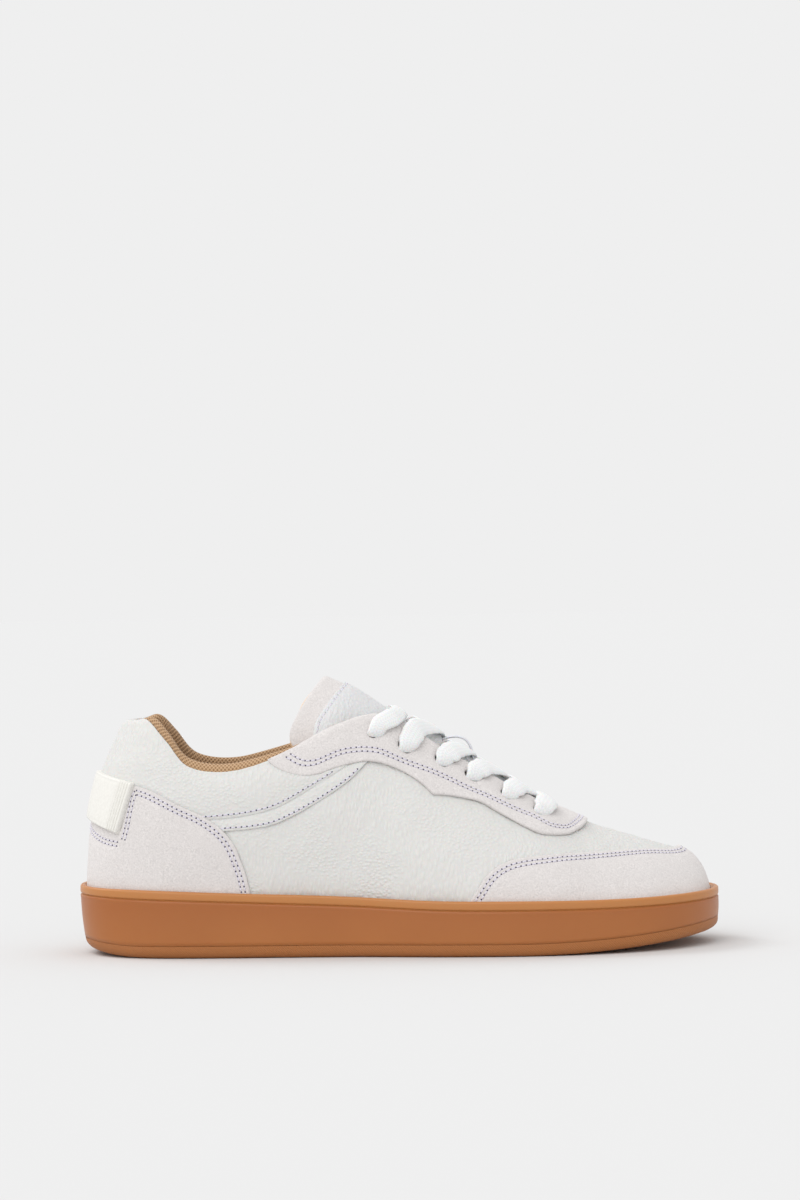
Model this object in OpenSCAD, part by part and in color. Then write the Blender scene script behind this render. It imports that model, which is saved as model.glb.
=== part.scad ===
// Low court shoe, right foot: gum cup sole, leather and suede upper, padded mesh collar, laced tongue.
// X runs from heel to toe, Y from the lateral to the medial side, Z up from the floor.

/* [Size] */
// Length of the sole, heel to toe
shoe_length = 280; // [266:2:294]
// Width of the sole at the ball
ball_width = 100; // [94:1:106]
// Height of the collar at the back of the heel
collar_height = 102; // [98:1:106]

/* [Sole] */
// Height of the cup's rim at the heel
heel_rim = 30.4; // [29:0.2:32]
// Height of the cup's rim at the ball
ball_rim = 23.4; // [22:0.2:25]
// Lift of the sole under the toe
toe_spring = 7; // [5:0.5:9]
// Thickness of the cup's wall at the rim
rim_wall = 3; // [2.5:0.1:3.5]
// Thickness of the tread under the midsole
tread = 4.2; // [3.5:0.1:5]

/* [Upper] */
// Thickness of the white leather
leather = 1.4; // [1:0.1:1.6]
// Thickness of the suede overlays
suede = 1.2; // [0.8:0.1:1.4]
// Thickness of the lining cloth
lining = 0.9; // [0.6:0.1:1.1]
// Depth of the foam in the collar at its fullest
collar_pad = 5; // [3:0.5:6]

/* [Lacing] */
// Radius of an eyelet hole
eyelet_r = 2.6; // [2.4:0.1:3]
// Width of the flat lace
lace_w = 7.6; // [6:0.2:8]
// Thickness of the flat lace
lace_t = 2.2; // [1.8:0.1:2.4]

/* [Hidden] */

gap = 0.2;               // between one layer and the next
sx = shoe_length / 280;
sy = ball_width / 100;
sz = collar_height / 102;
flange = 9;              // how far the upper goes down inside the cup
rim_out = rim_wall + suede + gap;
half_len = 140.2 * sx - rim_out;
y_shift = 0.05;

// ---------- curves ----------
function lerp(a, b, t) = a + (b - a) * t;
function clamp01(t) = min(max(t, 0), 1);
function unit(v) = v / norm(v);
function cubic(p, q, r, s, t) =
    0.5 * (2 * q + (r - p) * t + (2 * p - 5 * q + 4 * r - s) * t * t + (3 * q - p - 3 * r + s) * t * t * t);
// A smooth curve through evenly spaced knots, u from 0 to 1
function through(k, u) =
    let(n = len(k) - 1, s = clamp01(u) * n, i = min(floor(s), n - 1))
    cubic(i > 0 ? k[i - 1] : 2 * k[0] - k[1], k[i], k[i + 1],
          i + 2 <= n ? k[i + 2] : 2 * k[n] - k[n - 1], s - i);
// The same for a row of knots from heel centre to toe centre, which goes on as its mirror image past both
function flip(p) = len(p) == 3 ? [p.x, -p.y, p.z] : p;
function around(k, deg) =
    let(n = len(k) - 1, s = clamp01(deg / 180) * n, i = min(floor(s), n - 1))
    cubic(i > 0 ? k[i - 1] : flip(k[1]), k[i], k[i + 1], i + 2 <= n ? k[i + 2] : flip(k[n - 1]), s - i);

// ---------- the foot's plan ----------
// Knots every 40 from x = -140 to x = 140
half_lateral = [33, 33.5, 34, 36.5, 43.5, 49, 50.3, 50];
half_medial = [32.5, 33, 30.5, 30, 37, 43.5, 44, 37];
centre_line = [0.5, 0.5, 0, 0, 0, 2.2, 5.5, 8.5];
rim_line = [1, 0.8, 0.57, 0.33, 0.05, 0, 0, 0.12];
heel_round = 7;
toe_round = 4.2;
function along(x) = (x / sx + 140) / 280;
function centre(x) = through(centre_line, along(x)) + y_shift;
function rim(x) = ball_rim + (heel_rim - ball_rim) * through(rim_line, along(x));
function feather(x) = rim(x) - flange;
function spring(x) =
    let(t = clamp01((x / sx - 50) / 90), b = clamp01((-108 - x / sx) / 32)) toe_spring * t * t + 3 * b * b;
function half_turn(deg) = let(d = (deg + 720) % 360) d <= 180 ? d : 360 - d;
function side(deg) = (deg + 720) % 360 <= 180 ? -1 : 1;
function round_off(r, p) = sqrt(max(0, 1 - pow(abs(r), p)));
// Outline of the upper at the cup, deg 0 at the heel, 180 at the toe, by way of the lateral side
function plan(deg) =
    let(th = half_turn(deg), r = -cos(th), x = half_len * r,
        w = through(side(deg) < 0 ? half_lateral : half_medial, along(x)) * sy)
    [x, centre(x) + side(deg) * w * round_off(r, r < 0 ? heel_round : toe_round)];
function plan_normal(deg) = let(d = plan(deg + 0.5) - plan(deg - 0.5)) unit([d.y, -d.x]);
function outline(deg, off) = plan(deg) + plan_normal(deg) * off;

// ---------- the upper's surface ----------
// Top edge every 10 degrees: collar, then the throat's edge, then the ridge down to the toe
top_edge = [
    [-118.5, 0, 101.3], [-117, 7, 101.8], [-113.5, 13, 102], [-107.5, 19, 102], [-99.5, 25, 93.5],
    [-89.5, 29.5, 82.6], [-71, 31, 80.6], [-49, 29.5, 87.4], [-27, 26, 98], [-6, 20, 102],
    [17, 16, 88], [42, 13.5, 73.2], [61, 10, 62.2], [71, 0, 58.2], [82, 0, 53.6],
    [93, 0, 49.8], [104, 0, 46.3], [113.5, 0, 43.4], [121, 0, 41.2]
];
// Handles every 30 degrees: bulge and rise from the cup, then the step out from the top edge
handles = [
    [1, 24, -15, 0, -26], [2.2, 24, -6, 8, -28], [2.6, 22, 0, 7, -22], [2.8, 26, 1, 12, -20],
    [2, 17, 5, 24, -9], [1, 13, 13, 13.5, -4.5], [0.6, 12.5, 10, 0, -2]
];
throat_end = 130;
function lift(z) = 26 + (z - 26) * sz;
function top(deg) =
    let(p = around([for (e = top_edge) [e.x, -e.y, e.z]], half_turn(deg)), x = p.x * sx,
        y = half_turn(deg) >= throat_end ? 0 : max(-p.y, 0))
    [x, centre(x) + side(deg) * y * sy, lift(p.z)];
function handle(deg) = around(handles, half_turn(deg));
function wall(deg, h) =
    let(a = plan(deg), b = top(deg), g = handle(deg), z = feather(a.x),
        o = plan_normal(deg) * g[0], m = 1 - h,
        p0 = [a.x, a.y, z],
        p1 = [a.x + o.x, a.y + o.y, z + g[1]],
        p2 = b + [g[2] * sx, side(deg) * g[3] * sy, g[4] * sz])
    m * m * m * p0 + 3 * m * m * h * p1 + 3 * m * h * h * p2 + h * h * h * b;
function wall_normal(deg, h) =
    let(k = min(h, 0.97), e = wall(deg + 1.5, k) - wall(deg - 1.5, k), u = wall(deg, k + 0.02) - wall(deg, k - 0.02))
    unit(cross(e, u));
function ridge_normal(deg) = let(t = top(deg + 1) - top(deg - 1)) unit([-t.z, 0, t.x]);
function skin(deg, h, d) =
    h >= 1 && half_turn(deg) >= throat_end
        ? top(half_turn(deg)) + ridge_normal(min(half_turn(deg), 178)) * d
        : wall(deg, h) + wall_normal(deg, h) * d;

// Height fraction at which the meridian at deg crosses a line drawn on the side view as [x, z] points
function crossing(deg, line, lo = 0, hi = 1, n = 13) =
    n == 0 ? (lo + hi) / 2 :
    let(m = (lo + hi) / 2, p = wall(deg, m))
    p.z < lift(lookup(p.x / sx, line)) ? crossing(deg, line, m, hi, n - 1) : crossing(deg, line, lo, m, n - 1);
function level(z) = [[-200, z], [200, z]]; // the same height all along
// [deg, h] of the point that the side view shows at [x, z]
function spot(p, deg = 90, n = 8) =
    let(h = crossing(deg, level(p.y)), e = wall(deg, h).x - p.x * sx, s = (wall(deg + 1, h).x - wall(deg - 1, h).x) / 2)
    n == 0 ? [deg, h] : spot(p, min(max(deg - e / max(s, 0.4), 1), 179), n - 1);

// Lines on the side view
crease = [
    [-140, 58.5], [-95, 58.5], [-79.6, 58.9], [-63.4, 60.6], [-51.6, 63.8], [-38.7, 70.6], [-26.8, 77.7],
    [-20, 83], [-16.5, 90], [-14, 97], [-12.5, 106]
];
stripe_low = [[-85, 53.5], [-72.7, 54.3], [-61.6, 55.2], [-51.7, 57.4], [-36.9, 64.6], [-21.9, 74.2], [-14, 81.7]];
stripe_high = [[-95, 60.5], [-80.6, 61.5], [-64.5, 64], [-46.4, 70.5], [-30.4, 80.6]];
stay_low = [
    [-56, 84.6], [-54.3, 82.3], [-50.4, 79.8], [-45.5, 78], [-39.7, 77.2], [-33.7, 78], [-26.8, 80.4], [-18.9, 82.2],
    [-13.8, 82.8], [-7.3, 81.9], [0.6, 78.8], [6.3, 75.4], [10.3, 72.3], [14.8, 67.7], [20, 67.5], [27.9, 66.2],
    [35.1, 64.1], [41.4, 60.4], [48.5, 56.4], [54.5, 53], [60.8, 50.2], [66.8, 49.3], [78.6, 50.3], [82.2, 54]
];
counter_high = [
    [-130, 73.7], [-113, 73.7], [-106.7, 72.2], [-101.8, 69.7], [-94.1, 65.6], [-87.2, 62.5], [-81.1, 59.1],
    [-74.9, 54.1], [-70.5, 48.1], [-67.7, 41.2], [-65.4, 34.3], [-64, 27.5]
];
cap_high = [
    [29.9, 23.7], [33.3, 28.9], [37.4, 34.5], [43.2, 38.5], [51.4, 40.8], [66, 41.7], [82.8, 41.5], [99.2, 41.4],
    [113.1, 40.8], [121.4, 40.6]
];
eyelets = [[59.8, 58.6], [46.1, 66], [31.1, 74.5], [18, 81.2], [2.3, 88], [-10.6, 94.7]];

// ---------- sheets ----------
// Meridians that every layer shares, from the heel's centre over the lateral side to the toe
grid = concat([0.15, 6, 12, 18, 24, 27], [for (d = [30:6:48]) d], [for (d = [52:4:128]) d], [130, 135, 140],
    [for (d = [144:6:180]) d]);
function both(a, b) =
    let(s = [for (d = grid) if (d >= a && d <= b) d], n = len(s))
    concat(s, [for (i = [n - 1:-1:0]) if (s[i] < 180) 360 - s[i]]);
function behind(b) =
    let(s = [for (d = grid) if (d <= b && d > 1) d], n = len(s))
    concat([for (i = [n - 1:-1:0]) 360 - s[i]], [360], [for (d = s) 360 + d]);
function welded(deg, h) = h >= 1 && half_turn(deg) >= throat_end;

// A sheet over the meridians in degs, from height low(deg) to high(deg), from offset lo(deg, h) to hi(deg, h)
module sheet(degs, low, high, lo, hi, rows = 9) {
    n = len(degs);
    m = rows + 1;
    lows = [for (d = degs) low(d)];
    highs = [for (d = degs) high(d)];
    function h(i, j) = j == 0 ? lows[i] : j == rows ? highs[i] : min(max(j / rows, lows[i]), highs[i]);
    pts = [for (k = [0, 1]) for (i = [0:n - 1]) for (j = [0:rows])
        skin(degs[i], h(i, j), k == 0 ? hi(degs[i], h(i, j)) : lo(degs[i], h(i, j)))];
    function v(k, i, j) = k * n * m + i * m + j;
    quads = concat(
        [for (i = [0:n - 2]) for (j = [0:rows - 1]) each [
            [v(0, i, j), v(0, i, j + 1), v(0, i + 1, j + 1), v(0, i + 1, j)],
            [v(1, i, j), v(1, i + 1, j), v(1, i + 1, j + 1), v(1, i, j + 1)]]],
        [for (j = [0:rows - 1]) each [
            [v(0, 0, j), v(1, 0, j), v(1, 0, j + 1), v(0, 0, j + 1)],
            [v(0, n - 1, j), v(0, n - 1, j + 1), v(1, n - 1, j + 1), v(1, n - 1, j)]]],
        [for (i = [0:n - 2]) [v(0, i, 0), v(0, i + 1, 0), v(1, i + 1, 0), v(1, i, 0)]],
        [for (i = [0:n - 2]) if (!(welded(degs[i], highs[i]) && welded(degs[i + 1], highs[i + 1])))
            [v(0, i, rows), v(1, i, rows), v(1, i + 1, rows), v(0, i + 1, rows)]]
    );
    closed(pts, quads);
}
// A solid from quads, each cut in two, without those that have shrunk to a line
module closed(pts, quads) {
    tris = [for (q = quads) each [[q[0], q[1], q[2]], [q[0], q[2], q[3]]]];
    polyhedron(pts, [for (t = tris)
        if (pts[t[0]] != pts[t[1]] && pts[t[1]] != pts[t[2]] && pts[t[0]] != pts[t[2]]) t]);
}
// A flat piece in the plan's outline, with faces at heights lo(x) and hi(x)
module slab(off, lo, hi) {
    degs = concat([for (d = grid) if (d < 180) d], [for (i = [len(grid) - 1:-1:0]) 360 - grid[i]]);
    n = len(degs);
    edge = [for (d = degs) outline(d, off)];
    pts = concat([for (p = edge) [p.x, p.y, lo(p.x)]], [for (p = edge) [p.x, p.y, hi(p.x)]]);
    half = (n - 1) / 2;
    closed(pts, concat(
        [for (i = [0:n - 1]) let(j = (i + 1) % n) [i, i + n, j + n, j]],
        [for (i = [0:half - 1]) [i, i + 1, n - 2 - i, n - 1 - i]],
        [for (i = [0:half - 1]) [i + n, n - 1 - i + n, n - 2 - i + n, i + 1 + n]]
    ));
}
module eyelet_holes() {
    for (e = eyelets) let(q = spot(e)) for (d = [q[0], 360 - q[0]])
        let(a = skin(d, q[1], -6), v = wall_normal(d, q[1]))
        translate(a) rotate([0, acos(v.z), atan2(v.y, v.x)]) cylinder(r = eyelet_r, h = 10, $fn = 16);
}

// ---------- sole ----------
module cupsole() {
    degs = concat([for (d = grid) if (d < 180) d], [for (i = [len(grid) - 1:-1:0]) 360 - grid[i]]);
    n = len(degs);
    half = (n - 1) / 2;
    clear = suede + gap + 0.25;
    function at(deg, off, z) = let(p = outline(deg, off)) [p.x, p.y, z];
    function inner(deg, dz) =
        skin(deg, crossing(deg, level(26 + (rim(plan(deg).x) - dz - 26) / sz)), clear);
    function ring(deg) = let(x = plan(deg).x, r = rim(x), s = spring(x)) [
        at(deg, rim_out - 4.5, s), at(deg, rim_out - 1.3, s + 1.2), at(deg, rim_out - 0.6, s + 4),
        at(deg, rim_out - 0.6, s + 5.6), at(deg, rim_out - 1, s + 6), at(deg, rim_out - 0.4, s + 6.6),
        at(deg, rim_out - 0.5, r - 4.9), at(deg, rim_out - 1, r - 4.5), at(deg, rim_out, r - 4),
        at(deg, rim_out, r - 0.5), at(deg, rim_out - 0.6, r), inner(deg, 0.2), inner(deg, flange / 2),
        at(deg, clear, r - flange), at(deg, clear, s + tread)
    ];
    rings = [for (d = degs) ring(d)];
    m = len(rings[0]);
    pts = [for (r = rings) each r];
    color([0.74, 0.46, 0.25]) closed(pts, concat(
        [for (i = [0:n - 1]) for (j = [0:m - 2]) let(k = (i + 1) % n)
            [i * m + j, i * m + j + 1, k * m + j + 1, k * m + j]],
        [for (i = [0:half - 1]) [i * m, (i + 1) * m, (n - 2 - i) * m, (n - 1 - i) * m]],
        [for (i = [0:half - 1]) [i, n - 1 - i, n - 2 - i, i + 1] * m + [m - 1, m - 1, m - 1, m - 1]]
    ));
}
module midsole() {
    color([0.9, 0.88, 0.82])
    slab(1.1, function(x) spring(x) + tread + gap, function(x) feather(x) - 2.3);
}
module lasting_board() {
    color([0.8, 0.76, 0.68]) slab(0.8, function(x) feather(x) - 2.1, function(x) feather(x) - 0.15);
}
module footbed_foam() {
    color([0.35, 0.36, 0.38]) slab(-6.4, function(x) feather(x) + 0.3, function(x) feather(x) + 4.8);
}
module footbed_cover() {
    color([0.8, 0.63, 0.43]) slab(-6.4, function(x) feather(x) + 5, function(x) feather(x) + 6);
}

// ---------- upper ----------
white = [0.93, 0.93, 0.92];
pale = [0.88, 0.86, 0.87];
tan = [0.8, 0.62, 0.42];
function pad_low(deg) = crossing(deg, crease);
function pad(deg, h) =
    let(a = pad_low(deg), t = clamp01((h - a) / max(1 - a, 0.02)))
    collar_pad * sin(160 * t) * clamp01((90 - half_turn(deg)) / 20);
inside = leather + gap;
module vamp_quarters() {
    color(white) difference() {
        sheet(both(0, 180), function(d) 0, function(d) d < 90 || d > 270 ? crossing(d, crease) : 1,
            function(d, h) -leather, function(d, h) 0, rows = 8);
        eyelet_holes();
    }
}
module collar_panel() {
    color(white)
    sheet(behind(81), function(d) min(crossing(d, crease) + 0.006, 1), function(d) 1,
        function(d, h) -leather, function(d, h) 0);
}
module stripe(s) {
    degs = [for (d = grid) if (d >= 57 && d <= 81) s > 0 ? d : 360 - d];
    color(white)
    sheet(s > 0 ? degs : [for (i = [len(degs) - 1:-1:0]) degs[i]],
        function(d) max(crossing(d, stripe_low), crossing(d, counter_high) + 0.012),
        function(d) max(min(crossing(d, stripe_high), crossing(d, stay_low) - 0.012),
            crossing(d, stripe_low) + 0.01, crossing(d, counter_high) + 0.022),
        function(d, h) gap, function(d, h) gap + 0.9);
}
module stripe_lateral() { stripe(1); }
module stripe_medial() { stripe(-1); }
function counter_top(deg) =
    let(t = half_turn(deg), z = t < 21 ? 52 : t < 29 ? 50 : 80)
    min(crossing(deg, counter_high), crossing(deg, level(z)));
module heel_overlay() {
    color(pale) sheet(behind(66), function(d) 0, function(d) counter_top(d), function(d, h) gap, function(d, h) gap + suede);
}
module toe_overlay() {
    color(pale)
    sheet(both(102, 180), function(d) 0, function(d) crossing(d, cap_high),
        function(d, h) gap, function(d, h) gap + suede);
}
module eyestay() {
    color(pale) difference() {
        sheet(both(68, 140), function(d) half_turn(d) == 140 ? 1 : crossing(d, stay_low), function(d) 1,
            function(d, h) gap, function(d, h) gap + suede, rows = 8);
        eyelet_holes();
    }
}
module eyelet_tape() {
    ends = [for (d = grid) if (d >= 90 && d <= 126) d];
    color([0.9, 0.9, 0.86]) difference() {
        union() for (s = [ends, [for (i = [len(ends) - 1:-1:0]) 360 - ends[i]]])
            sheet(s, function(d) crossing(d, stay_low) + 0.06, function(d) 0.99,
                function(d, h) -inside - 0.9, function(d, h) -inside, rows = 8);
        eyelet_holes();
    }
}
module heel_tab() {
    degs = [for (d = [-27:1:27]) 360 + d];
    function rib(t) = t > 17 && t < 27 && (t % 3 < 1) ? 0.7 : 0;
    color([0.96, 0.95, 0.92])
    sheet(degs, function(d) crossing(d, level(60 - half_turn(d) * 0.24)),
        function(d) crossing(d, level(78.6 - half_turn(d) * 0.12)),
        function(d, h) gap * 1.5, function(d, h) 2.1 + rib(half_turn(d)), rows = 4);
}
module heel_counter() {
    color([0.78, 0.78, 0.76])
    sheet(behind(57), function(d) 0.02, function(d) crossing(d, level(56)),
        function(d, h) -inside - 0.9, function(d, h) -inside, rows = 6);
}
module toe_puff() {
    color([0.78, 0.78, 0.76])
    sheet(both(129, 180), function(d) 0.02, function(d) 0.9, function(d, h) -inside - 0.9, function(d, h) -inside,
        rows = 7);
}
module collar_foam() {
    color([0.85, 0.83, 0.6])
    sheet(behind(78), function(d) pad_low(d) + 0.07, function(d) 0.995,
        function(d, h) -inside - max(pad(d, h) - 0.3, 0.6), function(d, h) -inside, rows = 7);
}
module collar_lining() {
    function depth(d, h) = -max(inside + 1.1, inside + 0.6 + pad(d, h));
    color(tan) sheet(behind(84), function(d) 0, function(d) 1,
        function(d, h) depth(d, h) - lining, function(d, h) depth(d, h));
}
module vamp_lining() {
    color([0.9, 0.86, 0.8]) difference() {
        sheet(both(87, 180), function(d) 0, function(d) 1,
            function(d, h) -inside - 1.1 - lining, function(d, h) -inside - 1.1, rows = 8);
        eyelet_holes();
    }
}

// ---------- tongue ----------
// Stations from the root to the tip: x, z, half width, droop at the edges, foam depth
stations = [
    [75, 51.4, 19, 9, 1], [68, 54.6, 21, 13, 1.5], [60, 58.6, 23, 19, 2], [48, 67, 25, 25, 3], [33, 77.6, 26, 27, 4],
    [18, 88, 26, 28, 4.5], [3, 98.6, 25, 28.5, 5], [-12, 109, 22.5, 27, 6], [-22, 115.4, 21.5, 28, 6],
    [-30, 119.3, 20.5, 29, 4.5]
];
split = 0.735;
slit = 0.02;
function station(s) = through(stations, s);
function path_normal(s) =
    let(a = station(min(s + 0.02, 1)), b = station(max(s - 0.02, 0)), t = unit([a.x - b.x, a.y - b.y])) [t.y, 0, -t.x];
function tongue_at(s, v, d) =
    let(q = station(s), n = path_normal(s), x = q.x * sx)
    [x, centre(x) + v * q.z * sy, lift(q.y)] + n * (d - q[3] * v * v);
module tongue_layer(a, b, lo, hi, width = 1) {
    rows = 10;
    m = round(22 * (b - a)) + 2;
    function v_at(j) = width * (1 - 2 * j / rows);
    pts = [for (k = [0, 1]) for (i = [0:m]) for (j = [0:rows])
        let(s = a + (b - a) * i / m) tongue_at(s, v_at(j), k == 0 ? hi(s, v_at(j)) : lo(s, v_at(j)))];
    function v(k, i, j) = (k * (m + 1) + i) * (rows + 1) + j;
    closed(pts, concat(
        [for (i = [0:m - 1]) for (j = [0:rows - 1]) each [
            [v(0, i, j), v(0, i, j + 1), v(0, i + 1, j + 1), v(0, i + 1, j)],
            [v(1, i, j), v(1, i + 1, j), v(1, i + 1, j + 1), v(1, i, j + 1)]]],
        [for (i = [0:m - 1]) each [
            [v(0, i, 0), v(0, i + 1, 0), v(1, i + 1, 0), v(1, i, 0)],
            [v(0, i, rows), v(1, i, rows), v(1, i + 1, rows), v(0, i + 1, rows)]]],
        [for (j = [0:rows - 1]) each [
            [v(0, 0, j), v(1, 0, j), v(1, 0, j + 1), v(0, 0, j + 1)],
            [v(0, m, j), v(0, m, j + 1), v(1, m, j + 1), v(1, m, j)]]]
    ));
}
function foam_depth(s, v) = 1.5 + station(s)[4] * (1 - 0.8 * v * v);
module tongue_skin(a, b) { tongue_layer(a, b, function(s, v) -1.2, function(s, v) 0); }
module tongue_pad(a, b) {
    tongue_layer(a, b, function(s, v) -foam_depth(s, v), function(s, v) -1.4, 0.96);
}
module tongue_back(a, b) {
    tongue_layer(a, b, function(s, v) -foam_depth(s, v) - 1, function(s, v) -foam_depth(s, v) - 0.2, 0.98);
}
module tongue_face() { color(white) tongue_skin(0, split - slit); }
module tongue_foam() { color([0.9, 0.87, 0.7]) tongue_pad(0.03, split - slit); }
module tongue_lining() { color([0.94, 0.82, 0.7]) tongue_back(0.03, split - slit); }
module tongue_top_face() { color(pale) tongue_skin(split + slit, 1); }
module tongue_top_foam() { color([0.9, 0.87, 0.7]) tongue_pad(split + slit, 0.985); }
module tongue_top_lining() { color([0.94, 0.82, 0.7]) tongue_back(split + slit, 0.99); }

// ---------- laces ----------
// A flat band swept along points [place, up, width, thickness]
module band(path) {
    n = len(path);
    function dir(i) = unit(path[min(i + 1, n - 1)][0] - path[max(i - 1, 0)][0]);
    function corners(i) =
        let(p = path[i], t = dir(i), s = unit(cross(t, p[1])), u = unit(cross(s, t)), w = p[2] / 2, k = p[3] / 2)
        [for (c = [[-1, 0], [-0.8, -1], [0.8, -1], [1, 0], [0.8, 1], [-0.8, 1]])
            p[0] + s * (w * c.x) + u * (k * c.y)];
    pts = [for (i = [0:n - 1]) each corners(i)];
    polyhedron(pts, concat(
        [for (i = [0:n - 2]) for (j = [0:5]) let(k = (j + 1) % 6) each [
            [i * 6 + j, i * 6 + k, (i + 1) * 6 + k], [i * 6 + j, (i + 1) * 6 + k, (i + 1) * 6 + j]]],
        [for (j = [1:4]) [0, j + 1, j]], [for (j = [1:4]) [(n - 1) * 6, (n - 1) * 6 + j, (n - 1) * 6 + j + 1]]
    ));
}
over = gap + suede + 0.35;
// The tongue's station where its centre line is at x
function tongue_s(x, a = 0, b = 1, n = 12) =
    n == 0 ? (a + b) / 2 : let(m = (a + b) / 2) station(m).x * sx > x ? tongue_s(x, m, b, n - 1) : tongue_s(x, a, m, n - 1);
function lace_side(e, s) = let(q = spot(e)) [s < 0 ? q[0] : 360 - q[0], q[1]];
// Down through an eyelet, under the facing and out into the throat
function hole_run(e, s) =
    let(q = lace_side(e, s), n = wall_normal(q[0], q[1]), f = function(d) skin(q[0], q[1], d),
        a = unit(skin(q[0], 1, 0) - skin(q[0], q[1], 0)))
    [
        [f(over + lace_t / 2) - a * 0.6, n, lace_w * 0.8, lace_t],
        [f(over - 0.3), -a, 3.4, 2],
        [f(-2.2), -a, 3.2, 2],
        [f(-4.35) + a * 1, n, 4, 1.2],
        [f(-4.45) + a * 4, n, 5.6, 1.2]
    ];
// The loose end, from the last eyelet down the inside to its tip
function tail_at(s, z, d) = let(q = lace_side(eyelets[5], s)) skin(q[0], crossing(q[0], level(z)), d);
function tail(s) =
    let(q = lace_side(eyelets[5], s), n = wall_normal(q[0], q[1]))
    concat([for (i = [0:2]) hole_run(eyelets[5], s)[i]],
        [for (p = [[91, -4.3, 4], [86, -4.3, 6], [80, -4.3, 6], [74, -4.4, 4], [70, -5.3, 3], [67.5, -5.9, 1.6]])
            [tail_at(s, p.x, p.y), n, p.z, 1.1]]);
function cross_run(i, s, level) =
    let(e = eyelets[i], g = eyelets[i + 1], xm = (e.x + g.x) / 2 * sx, st = tongue_s(xm),
        q = lace_side(e, s), r = lace_side(g, -s),
        out = skin(q[0], 1, -4.4) + [(g.x - e.x) * 0.12, 0, 0],
        mid = tongue_at(st, 0, 0.8 + lace_t / 2 + level * (lace_t + 0.3)),
        n = path_normal(st),
        a = tongue_at(tongue_s(lerp(e.x, g.x, 0.36) * sx), s * 0.36, 1.2 + lace_t / 2 + level * 0.8),
        b = skin(r[0], 1, over + lace_t / 2 + 0.6) + [(e.x - g.x) * 0.16, -s * -1, 0])
    [[out, [0, s * 0.5, 1], lace_w * 0.9, 1.6], [a, n, lace_w, lace_t], [mid, n, lace_w, lace_t],
     [b, wall_normal(r[0], 0.97), lace_w, lace_t]];
function half_lace(s) = concat(
    [for (i = [0:4]) each concat(hole_run(eyelets[i], i % 2 == 0 ? s : -s),
        cross_run(i, i % 2 == 0 ? s : -s, (i % 2 == 0 ? s : -s) < 0 ? 0 : 1))],
    tail(-s)
);
module shoelace() {
    bar = [for (k = [-1, 0, 1]) let(q = lace_side(eyelets[0], k), st = tongue_s(eyelets[0].x * sx)) k == 0
        ? [tongue_at(st, 0, 2.4 + lace_t / 2), path_normal(st), lace_w, lace_t]
        : [skin(q[0], 1, over + 0.3 + lace_t / 2), wall_normal(q[0], 0.97), lace_w, lace_t]];
    a = half_lace(-1);
    b = half_lace(1);
    keys = concat([for (i = [len(a) - 1:-1:0]) a[i]], bar, b);
    n = len(keys) - 1;
    fine = 3;
    function key(i) = keys[min(max(i, 0), n)];
    function between(i, t) = [for (k = [0:3])
        let(v = cubic(key(i - 1)[k], key(i)[k], key(i + 1)[k], key(i + 2)[k], t))
        k < 2 ? v : min(max(v, min(key(i)[k], key(i + 1)[k])), max(key(i)[k], key(i + 1)[k]))];
    color([0.96, 0.96, 0.96])
    band(concat([for (i = [0:n - 1]) for (t = [0:fine - 1]) between(i, t / fine)], [keys[n]]));
}
module lace_keeper() {
    a = tongue_s(32 * sx);
    b = tongue_s(17 * sx);
    rise = 2 * lace_t + 3.4;
    color(white) band([for (t = [0:0.1:1])
        [tongue_at(lerp(a, b, t), 0, 0.75 + rise * pow(sin(180 * t), 0.7)), path_normal(lerp(a, b, t)), 6, 1]]);
}
module aglets() {
    color([0.93, 0.93, 0.93]) for (s = [-1, 1])
        let(a = tail_at(s, 67, -6.1), b = tail_at(s, 51, -6.4), v = unit(b - a))
        translate(a) rotate([0, acos(v.z), atan2(v.y, v.x)]) cylinder(r = 1.5, h = norm(b - a), $fn = 24);
}

cupsole();
midsole();
lasting_board();
footbed_foam();
footbed_cover();
vamp_quarters();
collar_panel();
stripe_lateral();
stripe_medial();
heel_overlay();
toe_overlay();
eyestay();
eyelet_tape();
heel_tab();
heel_counter();
toe_puff();
collar_foam();
collar_lining();
vamp_lining();
tongue_face();
tongue_foam();
tongue_lining();
tongue_top_face();
tongue_top_foam();
tongue_top_lining();
lace_keeper();
shoelace();
aglets();
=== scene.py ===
"""The looks of a low court shoe for the right foot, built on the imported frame. Lengths are millimetres until
a mesh is made; deg runs round the upper from the heel (0) by the lateral side to the toe (180) and back by the
medial side (360), and h from the feather line inside the cup (0) to the upper's top edge (1)."""

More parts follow.
